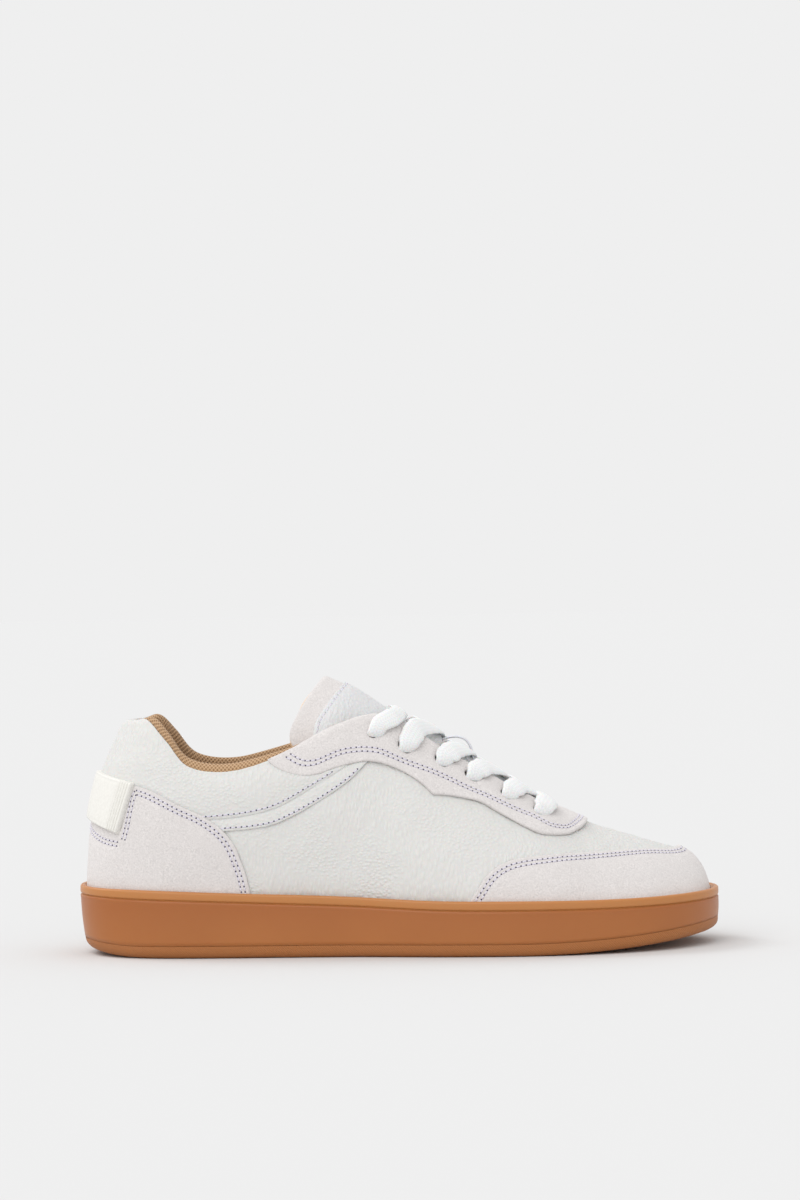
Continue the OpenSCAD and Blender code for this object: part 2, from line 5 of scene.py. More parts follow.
import bmesh
import bpy
import numpy as np
from mathutils.geometry import delaunay_2d_cdt
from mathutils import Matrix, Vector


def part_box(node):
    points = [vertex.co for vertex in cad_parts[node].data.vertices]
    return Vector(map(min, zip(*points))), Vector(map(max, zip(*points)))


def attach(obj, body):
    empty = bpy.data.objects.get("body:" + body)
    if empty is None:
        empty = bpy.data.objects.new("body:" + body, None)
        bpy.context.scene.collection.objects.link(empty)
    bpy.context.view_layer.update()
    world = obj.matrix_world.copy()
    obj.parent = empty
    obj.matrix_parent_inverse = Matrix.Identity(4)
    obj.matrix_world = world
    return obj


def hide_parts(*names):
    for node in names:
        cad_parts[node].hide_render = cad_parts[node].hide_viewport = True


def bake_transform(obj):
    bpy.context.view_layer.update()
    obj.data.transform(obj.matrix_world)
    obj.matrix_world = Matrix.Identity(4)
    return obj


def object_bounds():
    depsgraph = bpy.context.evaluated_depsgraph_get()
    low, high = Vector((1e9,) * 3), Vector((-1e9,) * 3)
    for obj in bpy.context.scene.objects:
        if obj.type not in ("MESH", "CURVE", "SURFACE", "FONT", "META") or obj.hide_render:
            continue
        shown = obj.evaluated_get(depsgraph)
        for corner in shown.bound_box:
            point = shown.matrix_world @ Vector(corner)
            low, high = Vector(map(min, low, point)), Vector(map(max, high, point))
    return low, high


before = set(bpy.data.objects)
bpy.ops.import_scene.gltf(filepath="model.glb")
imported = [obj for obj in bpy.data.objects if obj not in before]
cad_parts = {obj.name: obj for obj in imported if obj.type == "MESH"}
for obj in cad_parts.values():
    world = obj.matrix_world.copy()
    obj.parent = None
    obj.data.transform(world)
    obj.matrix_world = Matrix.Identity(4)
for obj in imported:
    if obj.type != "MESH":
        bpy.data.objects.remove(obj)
cad_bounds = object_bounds()

# The lines below are drawn for a sole of this length and width and an upper of this rise above BASE_Z,
# and SX, SY and SZ stretch them to the frame
MM = 0.001
DRAWN_LENGTH, DRAWN_WIDTH, DRAWN_RISE = 280.4, 100.85, 76.63
BASE_Z = 26
SOLE_LOW, SOLE_HIGH = (np.array(corner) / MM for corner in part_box("cupsole"))
SX = (SOLE_HIGH[0] - SOLE_LOW[0]) / DRAWN_LENGTH
SY = (SOLE_HIGH[1] - SOLE_LOW[1]) / DRAWN_WIDTH
SZ = (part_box("collar_panel")[1].z / MM - BASE_Z) / DRAWN_RISE
GAP, LEATHER, SUEDE, LINING = 0.2, 1.4, 1.2, 0.9
RIM_WALL, TREAD, FLANGE = 3.0, 4.2, 9.0
RIM_OUT = RIM_WALL + SUEDE + GAP
HALF_LENGTH = DRAWN_LENGTH / 2 * SX - RIM_OUT
INSIDE = LEATHER + GAP
COLLAR_PAD = 5.0
THROAT_END = 130.0
ALL_ROUND = np.arange(0, 360, 1.0)


# ---------- small maths ----------
def spline(knots, u, before=None, after=None):
    """A smooth curve through evenly spaced knots, u from 0 to 1."""
    k = np.array(knots, float)
    first = 2 * k[0] - k[1] if before is None else np.array(before, float)
    last = 2 * k[-1] - k[-2] if after is None else np.array(after, float)
    n = len(k) - 1
    k = np.concatenate([[first], k, [last]])
    s = np.clip(np.asarray(u, float), 0, 1) * n
    i = np.minimum(s.astype(int), n - 1)
    t = (s - i)[..., None] if k.ndim > 1 else s - i
    p, q, r, w = k[i], k[i + 1], k[i + 2], k[i + 3]
    return 0.5 * (2 * q + (r - p) * t + (2 * p - 5 * q + 4 * r - w) * t**2 + (3 * q - p - 3 * r + w) * t**3)


def unit(v):
    return v / np.maximum(np.linalg.norm(v, axis=-1, keepdims=True), 1e-9)


def step(t, a=0.0, b=1.0):
    """Eases from 0 at a to 1 at b."""
    t = np.clip((np.asarray(t, float) - a) / (b - a), 0, 1)
    return t * t * (3 - 2 * t)


def lerp(a, b, t):
    return a + (b - a) * t


def length_along(points):
    """Length along a line of points, from 0 at the first."""
    return np.r_[0, np.cumsum(np.linalg.norm(np.diff(points, axis=0), axis=1))]


def sampled(points, run, at):
    """The places at lengths at along points, whose own lengths are run."""
    return np.stack([np.interp(at, run, column) for column in points.T], -1)


def dense(knots, spacing=1.0):
    """The smooth curve through given points, as closely spaced points."""
    k = np.array(knots, float)
    fine = spline(k, np.linspace(0, 1, 40 * len(k)))
    run = length_along(fine)
    return sampled(fine, run, np.linspace(0, run[-1], max(int(length_along(k)[-1] / spacing), 3) + 1))


def circle(one_way, other_way, count):
    """Directions all round, in the plane of two others."""
    turn = np.linspace(0, 2 * np.pi, count + 1)[:-1, None]
    return one_way * np.cos(turn) + other_way * np.sin(turn)


def with_height(p, z):
    return np.concatenate([p, z[..., None]], -1)


def ripple(p, size, seed):
    """Gentle unevenness about -1 to 1 over places p, with features about size across."""
    rng = np.random.default_rng(seed)
    total = np.zeros(p.shape[:-1])
    for _ in range(7):
        way = unit(rng.normal(size=3)) * rng.uniform(0.6, 1.5) * 2 * np.pi / size
        total += np.sin(p @ way + rng.uniform(0, 6.28))
    return total / 3.0


# ---------- the upper's surface ----------
HALF_LATERAL = [33, 33.5, 34, 36.5, 43.5, 49, 50.3, 50]
HALF_MEDIAL = [32.5, 33, 30.5, 30, 37, 43.5, 44, 37]
CENTRE_LINE = [0.5, 0.5, 0, 0, 0, 2.2, 5.5, 8.5]
RIM_LINE = [1, 0.8, 0.57, 0.33, 0.05, 0, 0, 0.12]
HEEL_RIM, BALL_RIM = 30.4, 23.4
HEEL_SQUARENESS, TOE_SQUARENESS = 7.0, 4.2
TOP_EDGE = np.array([
    [-118.5, 0, 101.3], [-117, 7, 101.8], [-113.5, 13, 102], [-107.5, 19, 102], [-99.5, 25, 93.5],
    [-89.5, 29.5, 82.6], [-71, 31, 80.6], [-49, 29.5, 87.4], [-27, 26, 98], [-6, 20, 102],
    [17, 16, 88], [42, 13.5, 73.2], [61, 10, 62.2], [71, 0, 58.2], [82, 0, 53.6],
    [93, 0, 49.8], [104, 0, 46.3], [113.5, 0, 43.4], [121, 0, 41.2]])
# How far the face runs out and up from the feather line, and along, across and down from the top edge
HANDLES = np.array([
    [1, 24, -15, 0, -26], [2.2, 24, -6, 8, -28], [2.6, 22, 0, 7, -22], [2.8, 26, 1, 12, -20],
    [2, 17, 5, 24, -9], [1, 13, 13, 13.5, -4.5], [0.6, 12.5, 10, 0, -2.9]])


def along(x):
    """The share of the sole's length from heel to toe."""
    return (x / SX + 140) / 280


def raised(z):
    """A drawn height, stretched to the frame."""
    return BASE_Z + (z - BASE_Z) * SZ


def centre(x):
    """The y of the shoe's curved middle line."""
    return spline(CENTRE_LINE, along(x)) + 0.05


def rim(x):
    """The height of the cup's lip."""
    return BALL_RIM + (HEEL_RIM - BALL_RIM) * spline(RIM_LINE, along(x))


def spring(x):
    """How far the tread curves up off the floor at the toe and the heel."""
    toe = np.clip((x / SX - 50) / 90, 0, 1)
    back = np.clip((-108 - x / SX) / 32, 0, 1)
    return 7 * toe**2 + 3 * back**2


def half_turn(deg):
    """Degrees from the heel, 0 to 180 on either side."""
    d = np.mod(deg, 360)
    return np.where(d <= 180, d, 360 - d)


def side(deg):
    """-1 on the lateral side and 1 on the medial side."""
    return np.where(np.mod(deg, 360) <= 180, -1.0, 1.0)


def plan(deg):
    """The feather line seen from above."""
    th, sd = half_turn(deg), side(deg)
    r = -np.cos(np.radians(th))
    x = HALF_LENGTH * r
    w = np.where(sd < 0, spline(HALF_LATERAL, along(x)), spline(HALF_MEDIAL, along(x))) * SY
    power = np.where(r < 0, HEEL_SQUARENESS, TOE_SQUARENESS)
    return np.stack([x, centre(x) + sd * w * np.sqrt(np.maximum(0, 1 - np.abs(r) ** power))], -1)


def outward(deg):
    """The level direction out of the feather line."""
    d = plan(deg + 0.5) - plan(deg - 0.5)
    return unit(np.stack([d[..., 1], -d[..., 0]], -1))


def outline(deg, off):
    """The feather line moved off outward."""
    return plan(deg) + outward(deg) * np.asarray(off)[..., None]


def top(deg):
    """The upper's top edge, and the ridge in front of the throat."""
    th, sd = half_turn(deg), side(deg)
    e = TOP_EDGE * [1, -1, 1]
    p = spline(e, th / 180, before=e[1] * [1, -1, 1], after=e[-2] * [1, -1, 1])
    y = np.where(th >= THROAT_END, 0, np.maximum(-p[..., 1], 0))
    x = p[..., 0] * SX
    return np.stack([x, centre(x) + sd * y * SY, raised(p[..., 2])], -1)


def wall(deg, h):
    """The upper's outer face before its top edge is rolled in."""
    deg, h = np.broadcast_arrays(np.asarray(deg, float), np.asarray(h, float))
    th, sd = half_turn(deg), side(deg)
    a, b = plan(deg), top(deg)
    g = spline(HANDLES, th / 180, before=HANDLES[1], after=HANDLES[-2])
    t1, t2 = top(np.minimum(th + 1, 180)), top(th - 1)
    slope = (t1 - t2)[..., 2] / np.maximum((t1 - t2)[..., 0], 0.1)
    gz = lerp(g[..., 4], g[..., 2] * np.clip(slope, -0.6, 0), step(th, 118, 134))
    out = outward(deg) * g[..., :1]
    z = rim(a[..., 0]) - FLANGE
    p0 = np.stack([a[..., 0], a[..., 1], z], -1)
    p1 = np.stack([a[..., 0] + out[..., 0], a[..., 1] + out[..., 1], z + g[..., 1]], -1)
    p2 = b + np.stack([g[..., 2] * SX, sd * g[..., 3] * SY, gz * SZ], -1)
    h, m = h[..., None], 1 - h[..., None]
    return m**3 * p0 + 3 * m * m * h * p1 + 3 * m * h * h * p2 + h**3 * b


def wall_normal(deg, h):
    k = np.minimum(h, 0.97)
    around = wall(deg + 1.5, k) - wall(deg - 1.5, k)
    up = wall(deg, k + 0.02) - wall(deg, k - 0.02)
    n = unit(np.cross(around, up))
    th = np.minimum(half_turn(deg), 178)
    t = top(th + 1) - top(th - 1)
    ridge = unit(np.stack([-t[..., 2], 0 * t[..., 0], t[..., 0]], -1))
    share = (step(h, 0.88, 1) * step(th, 124, 132))[..., None]
    return unit(n * (1 - share) + ridge * share)


# Tables of length up each meridian and round the plan, so that places can be given in millimetres
TABLE_DEG = np.arange(0.0, 361.0)
TABLE_H = np.linspace(0, 1, 61)
MERIDIANS = wall(TABLE_DEG[:, None], TABLE_H[None, :])
UP = np.array([length_along(meridian) for meridian in MERIDIANS])
SHARE_H = np.array([np.interp(TABLE_H, row / row[-1], TABLE_H) for row in UP])
ROUND = length_along(MERIDIANS[:, 12])


def looked_up(table, deg, t):
    """A table's value at deg and at share t of its rows, blended from the four entries beside it."""
    d = np.mod(deg, 360.0)
    i = np.minimum(d.astype(int), 359)
    s = np.clip(t, 0, 1) * 60
    j = np.minimum(s.astype(int), 59)
    a, b = d - i, s - j
    low = table[i, j] * (1 - a) + table[i + 1, j] * a
    return low * (1 - b) + (table[i, j + 1] * (1 - a) + table[i + 1, j + 1] * a) * b


def height_up(deg, h):
    """Millimetres up the meridian from the feather line to h."""
    deg, h = np.broadcast_arrays(np.asarray(deg, float), np.asarray(h, float))
    return looked_up(UP, deg, h)


def at_height(deg, v):
    """The h that lies v millimetres up the meridian."""
    deg, v = np.broadcast_arrays(np.asarray(deg, float), np.asarray(v, float))
    total = looked_up(UP, deg, np.ones_like(deg))
    return looked_up(SHARE_H, deg, v / total)


def pad(deg, h):
    """How far the collar's foam swells inward."""
    a = crossing(deg, CREASE)
    t = np.clip((h - a) / np.maximum(1 - a, 0.02), 0, 1)
    return COLLAR_PAD * np.sin(np.radians(160 * t)) * np.clip((90 - half_turn(deg)) / 20, 0, 1)


def edge_thickness(deg):
    soft = np.clip((90 - half_turn(deg)) / 20, 0, 1)
    return INSIDE + 2.0 + 1.3 * soft


def knit_rise(deg):
    """How far the padded knit stands above the leather's top edge line."""
    th = half_turn(deg)
    return 3.2 * step(th, 21, 37) * (1 - step(th, 62, 80))


def roll_height(deg):
    """How far below the top edge the collar or facing starts to roll in."""
    th = half_turn(deg)
    return np.maximum(2.6 - 1.2 * step(th, 66, 95) - 1.35 * step(th, 112, 129), 0.05)


def edge(deg, phi, d=0.0):
    """The rolled top edge: phi 0 is the outer face, 90 the very top and 180 the inner face."""
    t, k = roll_height(deg), np.full(np.shape(deg), 0.97)
    n = wall_normal(deg, k)
    e = unit(wall(deg, np.ones_like(k)) - wall(deg, k))
    start = wall(deg, at_height(deg, height_up(deg, 1.0) - t))
    half = edge_thickness(deg)[..., None] / 2
    c, s = np.cos(np.radians(phi))[..., None], np.sin(np.radians(phi))[..., None]
    rolled = start + e * (t + knit_rise(deg))[..., None] * s - n * half * (1 - c)
    return rolled + (n * c + e * s) * np.asarray(d)[..., None]


def lip_turn(deg):
    """How far round the rolled edge the leather goes before the lining takes over."""
    return 18 + 50 * (1 - step(half_turn(deg), 14, 37)) + 30 * step(half_turn(deg), 64, 80)


def skin(deg, h, d):
    """A place on the upper, d above its outer face."""
    deg, h, d = (np.array(x, float) for x in np.broadcast_arrays(deg, h, d))
    weld = (h >= 0.9995) & (half_turn(deg) >= THROAT_END)
    deg[weld] = half_turn(deg[weld])
    p = wall(deg, h) + wall_normal(deg, h) * d[..., None]
    t = roll_height(deg)
    past = (height_up(deg, h) - height_up(deg, 1.0) + t) / t
    turn = (past > 0) & (half_turn(deg) < THROAT_END - 1)
    if turn.any():
        phi = np.clip(past[turn], 0, 1) * lip_turn(deg[turn])
        p[turn] = edge(deg[turn], phi, d[turn])
    return p


def crossing(deg, line):
    """The h at which the meridian at deg crosses a side-view line, given as height for x or as heights."""
    deg = np.asarray(deg, float)
    lo, hi = np.zeros(deg.shape), np.ones(deg.shape)
    for _ in range(18):
        m = (lo + hi) / 2
        p = wall(deg, m)
        below = p[..., 2] < raised(line(p[..., 0] / SX) if callable(line) else line)
        lo, hi = np.where(below, m, lo), np.where(below, hi, m)
    return (lo + hi) / 2


def spot(points, start=90.0):
    """deg and h of the lateral places that the side view shows at x, z."""
    q = np.array(points, float)
    deg = np.full(len(q), start)
    for _ in range(24):
        h = crossing(deg, q[:, 1])
        miss = wall(deg, h)[:, 0] - q[:, 0] * SX
        rate = (wall(deg + 1, h) - wall(deg - 1, h))[:, 0] / 2
        deg = np.clip(deg - np.clip(miss / np.maximum(rate, 0.4), -12, 12), 0.5, 179.5)
    return deg, crossing(deg, q[:, 1])


def line_of(points):
    """A side-view line as its height for x."""
    p = dense(points, 1.0)
    return lambda x: np.interp(x, p[:, 0], p[:, 1])


CREASE = line_of([
    [-140, 58.5], [-95, 58.5], [-79.6, 58.9], [-63.4, 60.6], [-51.6, 63.8], [-38.7, 70.6], [-26.8, 77.7],
    [-20, 83], [-16.5, 90], [-14, 97], [-12.5, 106]])
STRIPE_LOW = line_of([[-90, 53.5], [-72.7, 54.3], [-61.6, 55.2], [-51.7, 57.4], [-36.9, 64.6], [-21.9, 74.2],
                      [-14, 81.7], [-9, 86.5]])
STAY_BACK = [[-56, 84.4], [-54.3, 82.3], [-50.4, 79.8], [-45.5, 78], [-39.7, 77.2], [-33.7, 78], [-26.8, 80.4],
             [-18.9, 82.2], [-13.8, 82.8], [-7.3, 81.9], [0.6, 78.8], [6.3, 75.4], [10.3, 72.3], [14.8, 67.9]]
STAY_FRONT = [[14.8, 67.9], [20, 67.6], [27.9, 66.2], [35.1, 64.1], [41.4, 60.4], [48.5, 56.4], [54.5, 53],
              [60.8, 50.2], [66.8, 49.3], [72.5, 49.2]]
COUNTER_EDGE = [[-63.6, 24], [-64.3, 29], [-65.6, 35], [-67.7, 41.2], [-70.5, 48.1], [-74.9, 54.1],
                [-81.1, 59.1], [-87.2, 62.5], [-94.1, 65.6], [-101.8, 69.7], [-108, 72.6], [-113.2, 74]]
COUNTER_NOTCH = [[-113.2, 74], [-115.6, 70], [-117.5, 63], [-118.8, 57], [-120.4, 51.6]]
CAP_EDGE = [[27, 18], [29.9, 23.7], [33.3, 28.9], [37.4, 34.5], [43.2, 38.5], [51.4, 40.8], [66, 41.7],
            [82.8, 41.5], [99.2, 41.4], [109, 41]]
EYELETS = np.array([[59.8, 58.6], [46.1, 66], [31.1, 74.5], [18, 81.2], [2.3, 88], [-10.6, 94.7]])


# ---------- meshes ----------
def make(name, verts, faces, material, uv=None):
    """A smooth-shaded piece whose places are given in millimetres."""
    mesh = bpy.data.meshes.new(name)
    mesh.from_pydata((np.asarray(verts, float) * MM).tolist(), [], faces)
    if uv is not None:
        layer = mesh.uv_layers.new(name="UVMap")
        index = np.zeros(len(mesh.loops), int)
        mesh.loops.foreach_get("vertex_index", index)
        layer.data.foreach_set("uv", np.asarray(uv, np.float32)[index].ravel())
    mesh.polygons.foreach_set("use_smooth", np.full(len(mesh.polygons), True))
    mesh.materials.append(material)
    mesh.update()
    piece = bpy.data.objects.new(name, mesh)
    bpy.context.scene.collection.objects.link(piece)
    return piece


def grid_faces(n, m, first=0, loop_n=False, loop_m=False, back=False):
    """The quads of an n by m grid of vertices; a loop joins its last row or column to the first."""
    i, j = np.meshgrid(np.arange(n if loop_n else n - 1), np.arange(m if loop_m else m - 1), indexing="ij")
    i, j = i.ravel(), j.ravel()
    next_i, next_j = (i + 1) % n, (j + 1) % m
    quads = np.stack([i * m + j, next_i * m + j, next_i * m + next_j, i * m + next_j], -1) + first
    return (quads[:, ::-1] if back else quads).tolist()


def end_caps(n, m, first=0):
    """The faces that close both ends of a tube of n rings of m vertices."""
    return [[first + j for j in reversed(range(m))], [first + (n - 1) * m + j for j in range(m)]]


def merged(piece, distance=0.00002):
    """Welds the places where a mesh's rows meet, and drops the faces that shrink to nothing."""
    b = bmesh.new()
    b.from_mesh(piece.data)
    bmesh.ops.remove_doubles(b, verts=b.verts, dist=distance)
    bmesh.ops.dissolve_degenerate(b, edges=b.edges, dist=distance / 2)
    bmesh.ops.recalc_face_normals(b, faces=b.faces)
    b.to_mesh(piece.data)
    b.free()
    piece.data.update()
    return piece


def shell(name, outer, inner, material, uv, ring=False, drop=None):
    """A closed sheet between two grids of points; ring joins the first column to the last."""
    n, m = outer.shape[:2]
    verts = np.concatenate([outer.reshape(-1, 3), inner.reshape(-1, 3)])
    front = grid_faces(n, m, 0, ring)
    rear = grid_faces(n, m, n * m, ring, back=True)
    if drop is not None:
        keep = ~drop(np.array([verts[f].mean(0) for f in front]))
        front = [f for f, k in zip(front, keep) if k]
        rear = [f for f, k in zip(rear, keep) if k]
    sides = []
    for i in range(n if ring else n - 1):
        k = (i + 1) % n
        sides.append([i * m, i * m + n * m, k * m + n * m, k * m])
        a, b = i * m + m - 1, k * m + m - 1
        sides.append([a, b, b + n * m, a + n * m])
    if not ring:
        for j in range(m - 1):
            sides.append([j, j + 1, j + 1 + n * m, j + n * m])
            a = (n - 1) * m + j
            sides.append([a, a + n * m, a + 1 + n * m, a + 1])
    return merged(make(name, verts, front + rear + sides, material, np.concatenate([uv.reshape(-1, 2)] * 2)))


# ---------- cut panels in an unrolled plane ----------
def ring_to(deg, h):
    """The plane that unrolls the upper from the heel round to the toe."""
    turn = np.floor(deg / 360)
    return np.stack([np.interp(deg - 360 * turn, TABLE_DEG, ROUND) + turn * ROUND[-1], height_up(deg, h)], -1)


def ring_from(ab):
    """Back from the heel-to-toe plane to deg and h."""
    turn = np.floor(ab[:, 0] / ROUND[-1])
    deg = np.interp(ab[:, 0] - turn * ROUND[-1], ROUND, TABLE_DEG) + 360 * turn
    return deg, at_height(deg, ab[:, 1])


def ridge_to(deg, h):
    """The plane that folds both sides out from the throat and the ridge in front of it."""
    down = height_up(deg, np.ones(np.shape(deg))) - height_up(deg, h)
    return np.stack([np.interp(half_turn(deg), TABLE_DEG[:181], ROUND[:181]), side(deg) * down], -1)


def ridge_from(ab):
    """Back from the throat's plane to deg and h."""
    th = np.interp(ab[:, 0], ROUND[:181], TABLE_DEG[:181])
    deg = np.where(ab[:, 1] < 0, th, 360 - th)
    return deg, at_height(deg, height_up(deg, np.ones(len(th))) - np.abs(ab[:, 1]))


def within(points, loops):
    """Whether each point is inside the first loop and outside its holes."""
    total = np.zeros(len(points), int)
    x, y = points[:, :1], points[:, 1:]
    for a in loops:
        b = np.roll(a, -1, 0)
        spans = (a[:, 1] > y) != (b[:, 1] > y)
        edge_x = (b[:, 0] - a[:, 0]) * (y - a[:, 1]) / (b[:, 1] - a[:, 1] + 1e-12) + a[:, 0]
        total += (spans & (x < edge_x)).sum(1)
    return total % 2 == 1


def distance_to(points, line):
    """From each point to the nearest point of a closely spaced line."""
    found = np.full(len(points), 1e9)
    for part in np.array_split(line, max(len(line) // 200, 1)):
        found = np.minimum(found, np.linalg.norm(points[:, None] - part[None], axis=2).min(1))
    return found


def beside(line, off):
    """A line's copy, off to its left."""
    t = unit(np.gradient(line, axis=0))
    return line + np.stack([-t[:, 1], t[:, 0]], -1) * off


def area_of(loop):
    b = np.roll(loop, -1, 0)
    return (loop[:, 0] * b[:, 1] - b[:, 0] * loop[:, 1]).sum() / 2


# The cut edge's section: how far in from the edge, and the share of the panel's depth
CUT_EDGE = [(0.0, 0.0), (0.0, 0.5), (0.12, 0.8), (0.4, 0.96), (0.9, 1.0)]
DENT, DENT_HALF = 0.3, 0.75
ROW_SPREAD, ROW_CLEAR, BORDER_CLEAR = 0.8, 0.75, 0.6


def fill_points(loops, rows, spacing):
    """Places that fill the loops: a triangular grid, and three lines along each sewn row."""
    border = np.concatenate(loops)
    lo, hi = border.min(0), border.max(0)
    x, y = np.meshgrid(np.arange(lo[0], hi[0], spacing), np.arange(lo[1], hi[1], spacing * 0.87))
    x = x + spacing / 2 * (np.arange(len(x)) % 2)[:, None]
    inner = np.stack([x.ravel(), y.ravel()], -1)
    inner = inner[within(inner, loops)]
    lines = np.concatenate([beside(row, off) for row in rows for off in (-ROW_SPREAD, 0.0, ROW_SPREAD)])
    inner = inner[distance_to(inner, lines) > ROW_CLEAR]
    inner = np.concatenate([inner, lines[within(lines, loops)]])
    return inner[distance_to(inner, border) > BORDER_CLEAR]


def panel(name, loops, plane_from, depth, material, rows, relief, spacing=1.7, lift=0.1):
    """A panel cut from sheet along loops[0], with holes along the rest, and pressed in along its sewn rows."""
    loops = [loop if (area_of(loop) > 0) == (k == 0) else loop[::-1] for k, loop in enumerate(loops)]
    verts, faces, flat, top_ids, low_ids, edges = [], [], [], [], [], []

    def add(places, share):
        first = sum(len(v) for v in verts)
        verts.append(np.column_stack([places, np.full(len(places), share)]))
        return first

    for loop in loops:
        t = unit(np.roll(loop, -1, 0) - np.roll(loop, 1, 0))
        inward = np.stack([-t[:, 1], t[:, 0]], -1)
        n = len(loop)
        starts = [add(loop + inward * inset, share) for inset, share in CUT_EDGE]
        base = add(loop + inward * CUT_EDGE[-1][0], 0.0)
        for a, b in [(base, starts[0]), *zip(starts, starts[1:])]:
            faces += [[a + i, a + (i + 1) % n, b + (i + 1) % n, b + i] for i in range(n)]
        k = len(top_ids)
        edges += [(k + i, k + (i + 1) % n) for i in range(n)]
        top_ids += range(starts[-1], starts[-1] + n)
        low_ids += range(base, base + n)
        flat.append(loop + inward * CUT_EDGE[-1][0])
    points = np.concatenate([*flat, fill_points(flat, rows, spacing)])
    out, _, tris, source, _, _ = delaunay_2d_cdt([tuple(p) for p in points], edges, [], 0, 1e-5)
    out = np.array([tuple(p) for p in out])
    for ids, share, order in ((top_ids, 1.0, 1), (low_ids, 0.0, -1)):
        first = add(out, share)
        known = [ids[s[0]] if s and s[0] < len(ids) else first + i for i, s in enumerate(source)]
        kept = np.array([t for t in tris if len(t) == 3])
        faces += [[known[i] for i in t[::order]] for t in kept[within(out[kept].mean(1), flat)]]
    v = np.concatenate(verts)
    off_row = distance_to(v[:, :2], np.concatenate([dense(row, 0.5) for row in rows]))
    d = lift + v[:, 2] * (depth - DENT * np.exp(-((off_row / DENT_HALF) ** 2)))
    place = plane_from(v[:, :2])
    p = skin(*place, d + v[:, 2] * relief(skin(*place, d)))
    used = np.unique(np.concatenate([np.array(face) for face in faces]))
    index = np.full(len(v), -1)
    index[used] = np.arange(len(used))
    faces = [index[np.array(face)].tolist() for face in faces]
    return merged(make(name, p[used], faces, material, v[used, :2]))


# ---------- stitching ----------
THREAD_RINGS, THREAD_SIDES, HOLE_SIDES = 7, 6, 8
THREAD_THIN, THREAD_SWELL, HOLE_RADIUS = 0.16, 0.13, 0.37
STITCH_START, STITCH_RISE, STITCH_DIP = 0.14, 0.30, 0.12
threads, needle_hole_shades = {"shoe": [], "tongue": []}, {"shoe": [], "tongue": []}


def sew(points, normals, where="shoe", pitch=2.35):
    """Adds a row of stitches along closely spaced points."""
    run = length_along(points)
    at = np.linspace(0, run[-1], max(int(run[-1] / pitch), 2) + 1)
    p = sampled(points, run, at)
    n = unit(sampled(normals, run, at))
    t = np.linspace(0, 1, THREAD_RINGS)
    arch = np.sin(np.pi * t)[:, None]
    for a, b, m in zip(p[:-1], p[1:], n[:-1]):
        across = unit(np.cross(m, unit(b - a)))
        share = lerp(STITCH_START, 1 - STITCH_START, t)[:, None]
        line = a + (b - a) * share + m * (STITCH_RISE * arch**0.6 - STITCH_DIP)
        radius = THREAD_THIN + THREAD_SWELL * arch**0.5
        threads[where].append(line[:, None] + radius[..., None] * circle(across * 1.25, m, THREAD_SIDES))
    # A dark disc over each needle hole: painted shade.
    for a, m, b in zip(p, n, np.roll(p, -1, 0)):
        ahead = unit(b - a) if np.linalg.norm(b - a) < 2 * pitch else np.array([0.3, 0.5, 0.8])
        one_way = unit(np.cross(m, ahead))
        border = a + HOLE_RADIUS * circle(one_way, np.cross(m, one_way), HOLE_SIDES)
        needle_hole_shades[where].append(np.concatenate([border + m * 0.05, (a + m * 0.06)[None]]))


def sew_on(plane_from, rows, d, relief):
    """Sews plane rows on a panel whose face is d plus its relief above the upper."""
    for row in rows:
        deg, h = plane_from(dense(row, 0.6))
        d_here = d + relief(skin(deg, h, d))
        p = skin(deg, h, d_here)
        sew(p, unit(skin(deg, h, d_here + 0.5) - p), pitch=2.3)


def stitch_pieces(where):
    """The threads, and the dark discs of painted shade at the needle holes, sewn so far, as one piece each."""
    tubes, holes = np.array(threads[where]), np.array(needle_hole_shades[where])
    faces, size = [], THREAD_RINGS * THREAD_SIDES
    for i in range(len(tubes)):
        faces += grid_faces(THREAD_RINGS, THREAD_SIDES, size * i, loop_m=True)
        faces += end_caps(THREAD_RINGS, THREAD_SIDES, size * i)
    sewn = make(f"{where}_stitches", tubes.reshape(-1, 3), faces, thread)
    n = HOLE_SIDES
    starts = range(0, (n + 1) * len(holes), n + 1)
    faces = [[start + j, start + (j + 1) % n, start + n] for start in starts for j in range(n)]
    pricked = make(f"{where}_needle_hole_shades", holes.reshape(-1, 3), faces, hole_shadow)
    return sewn, pricked


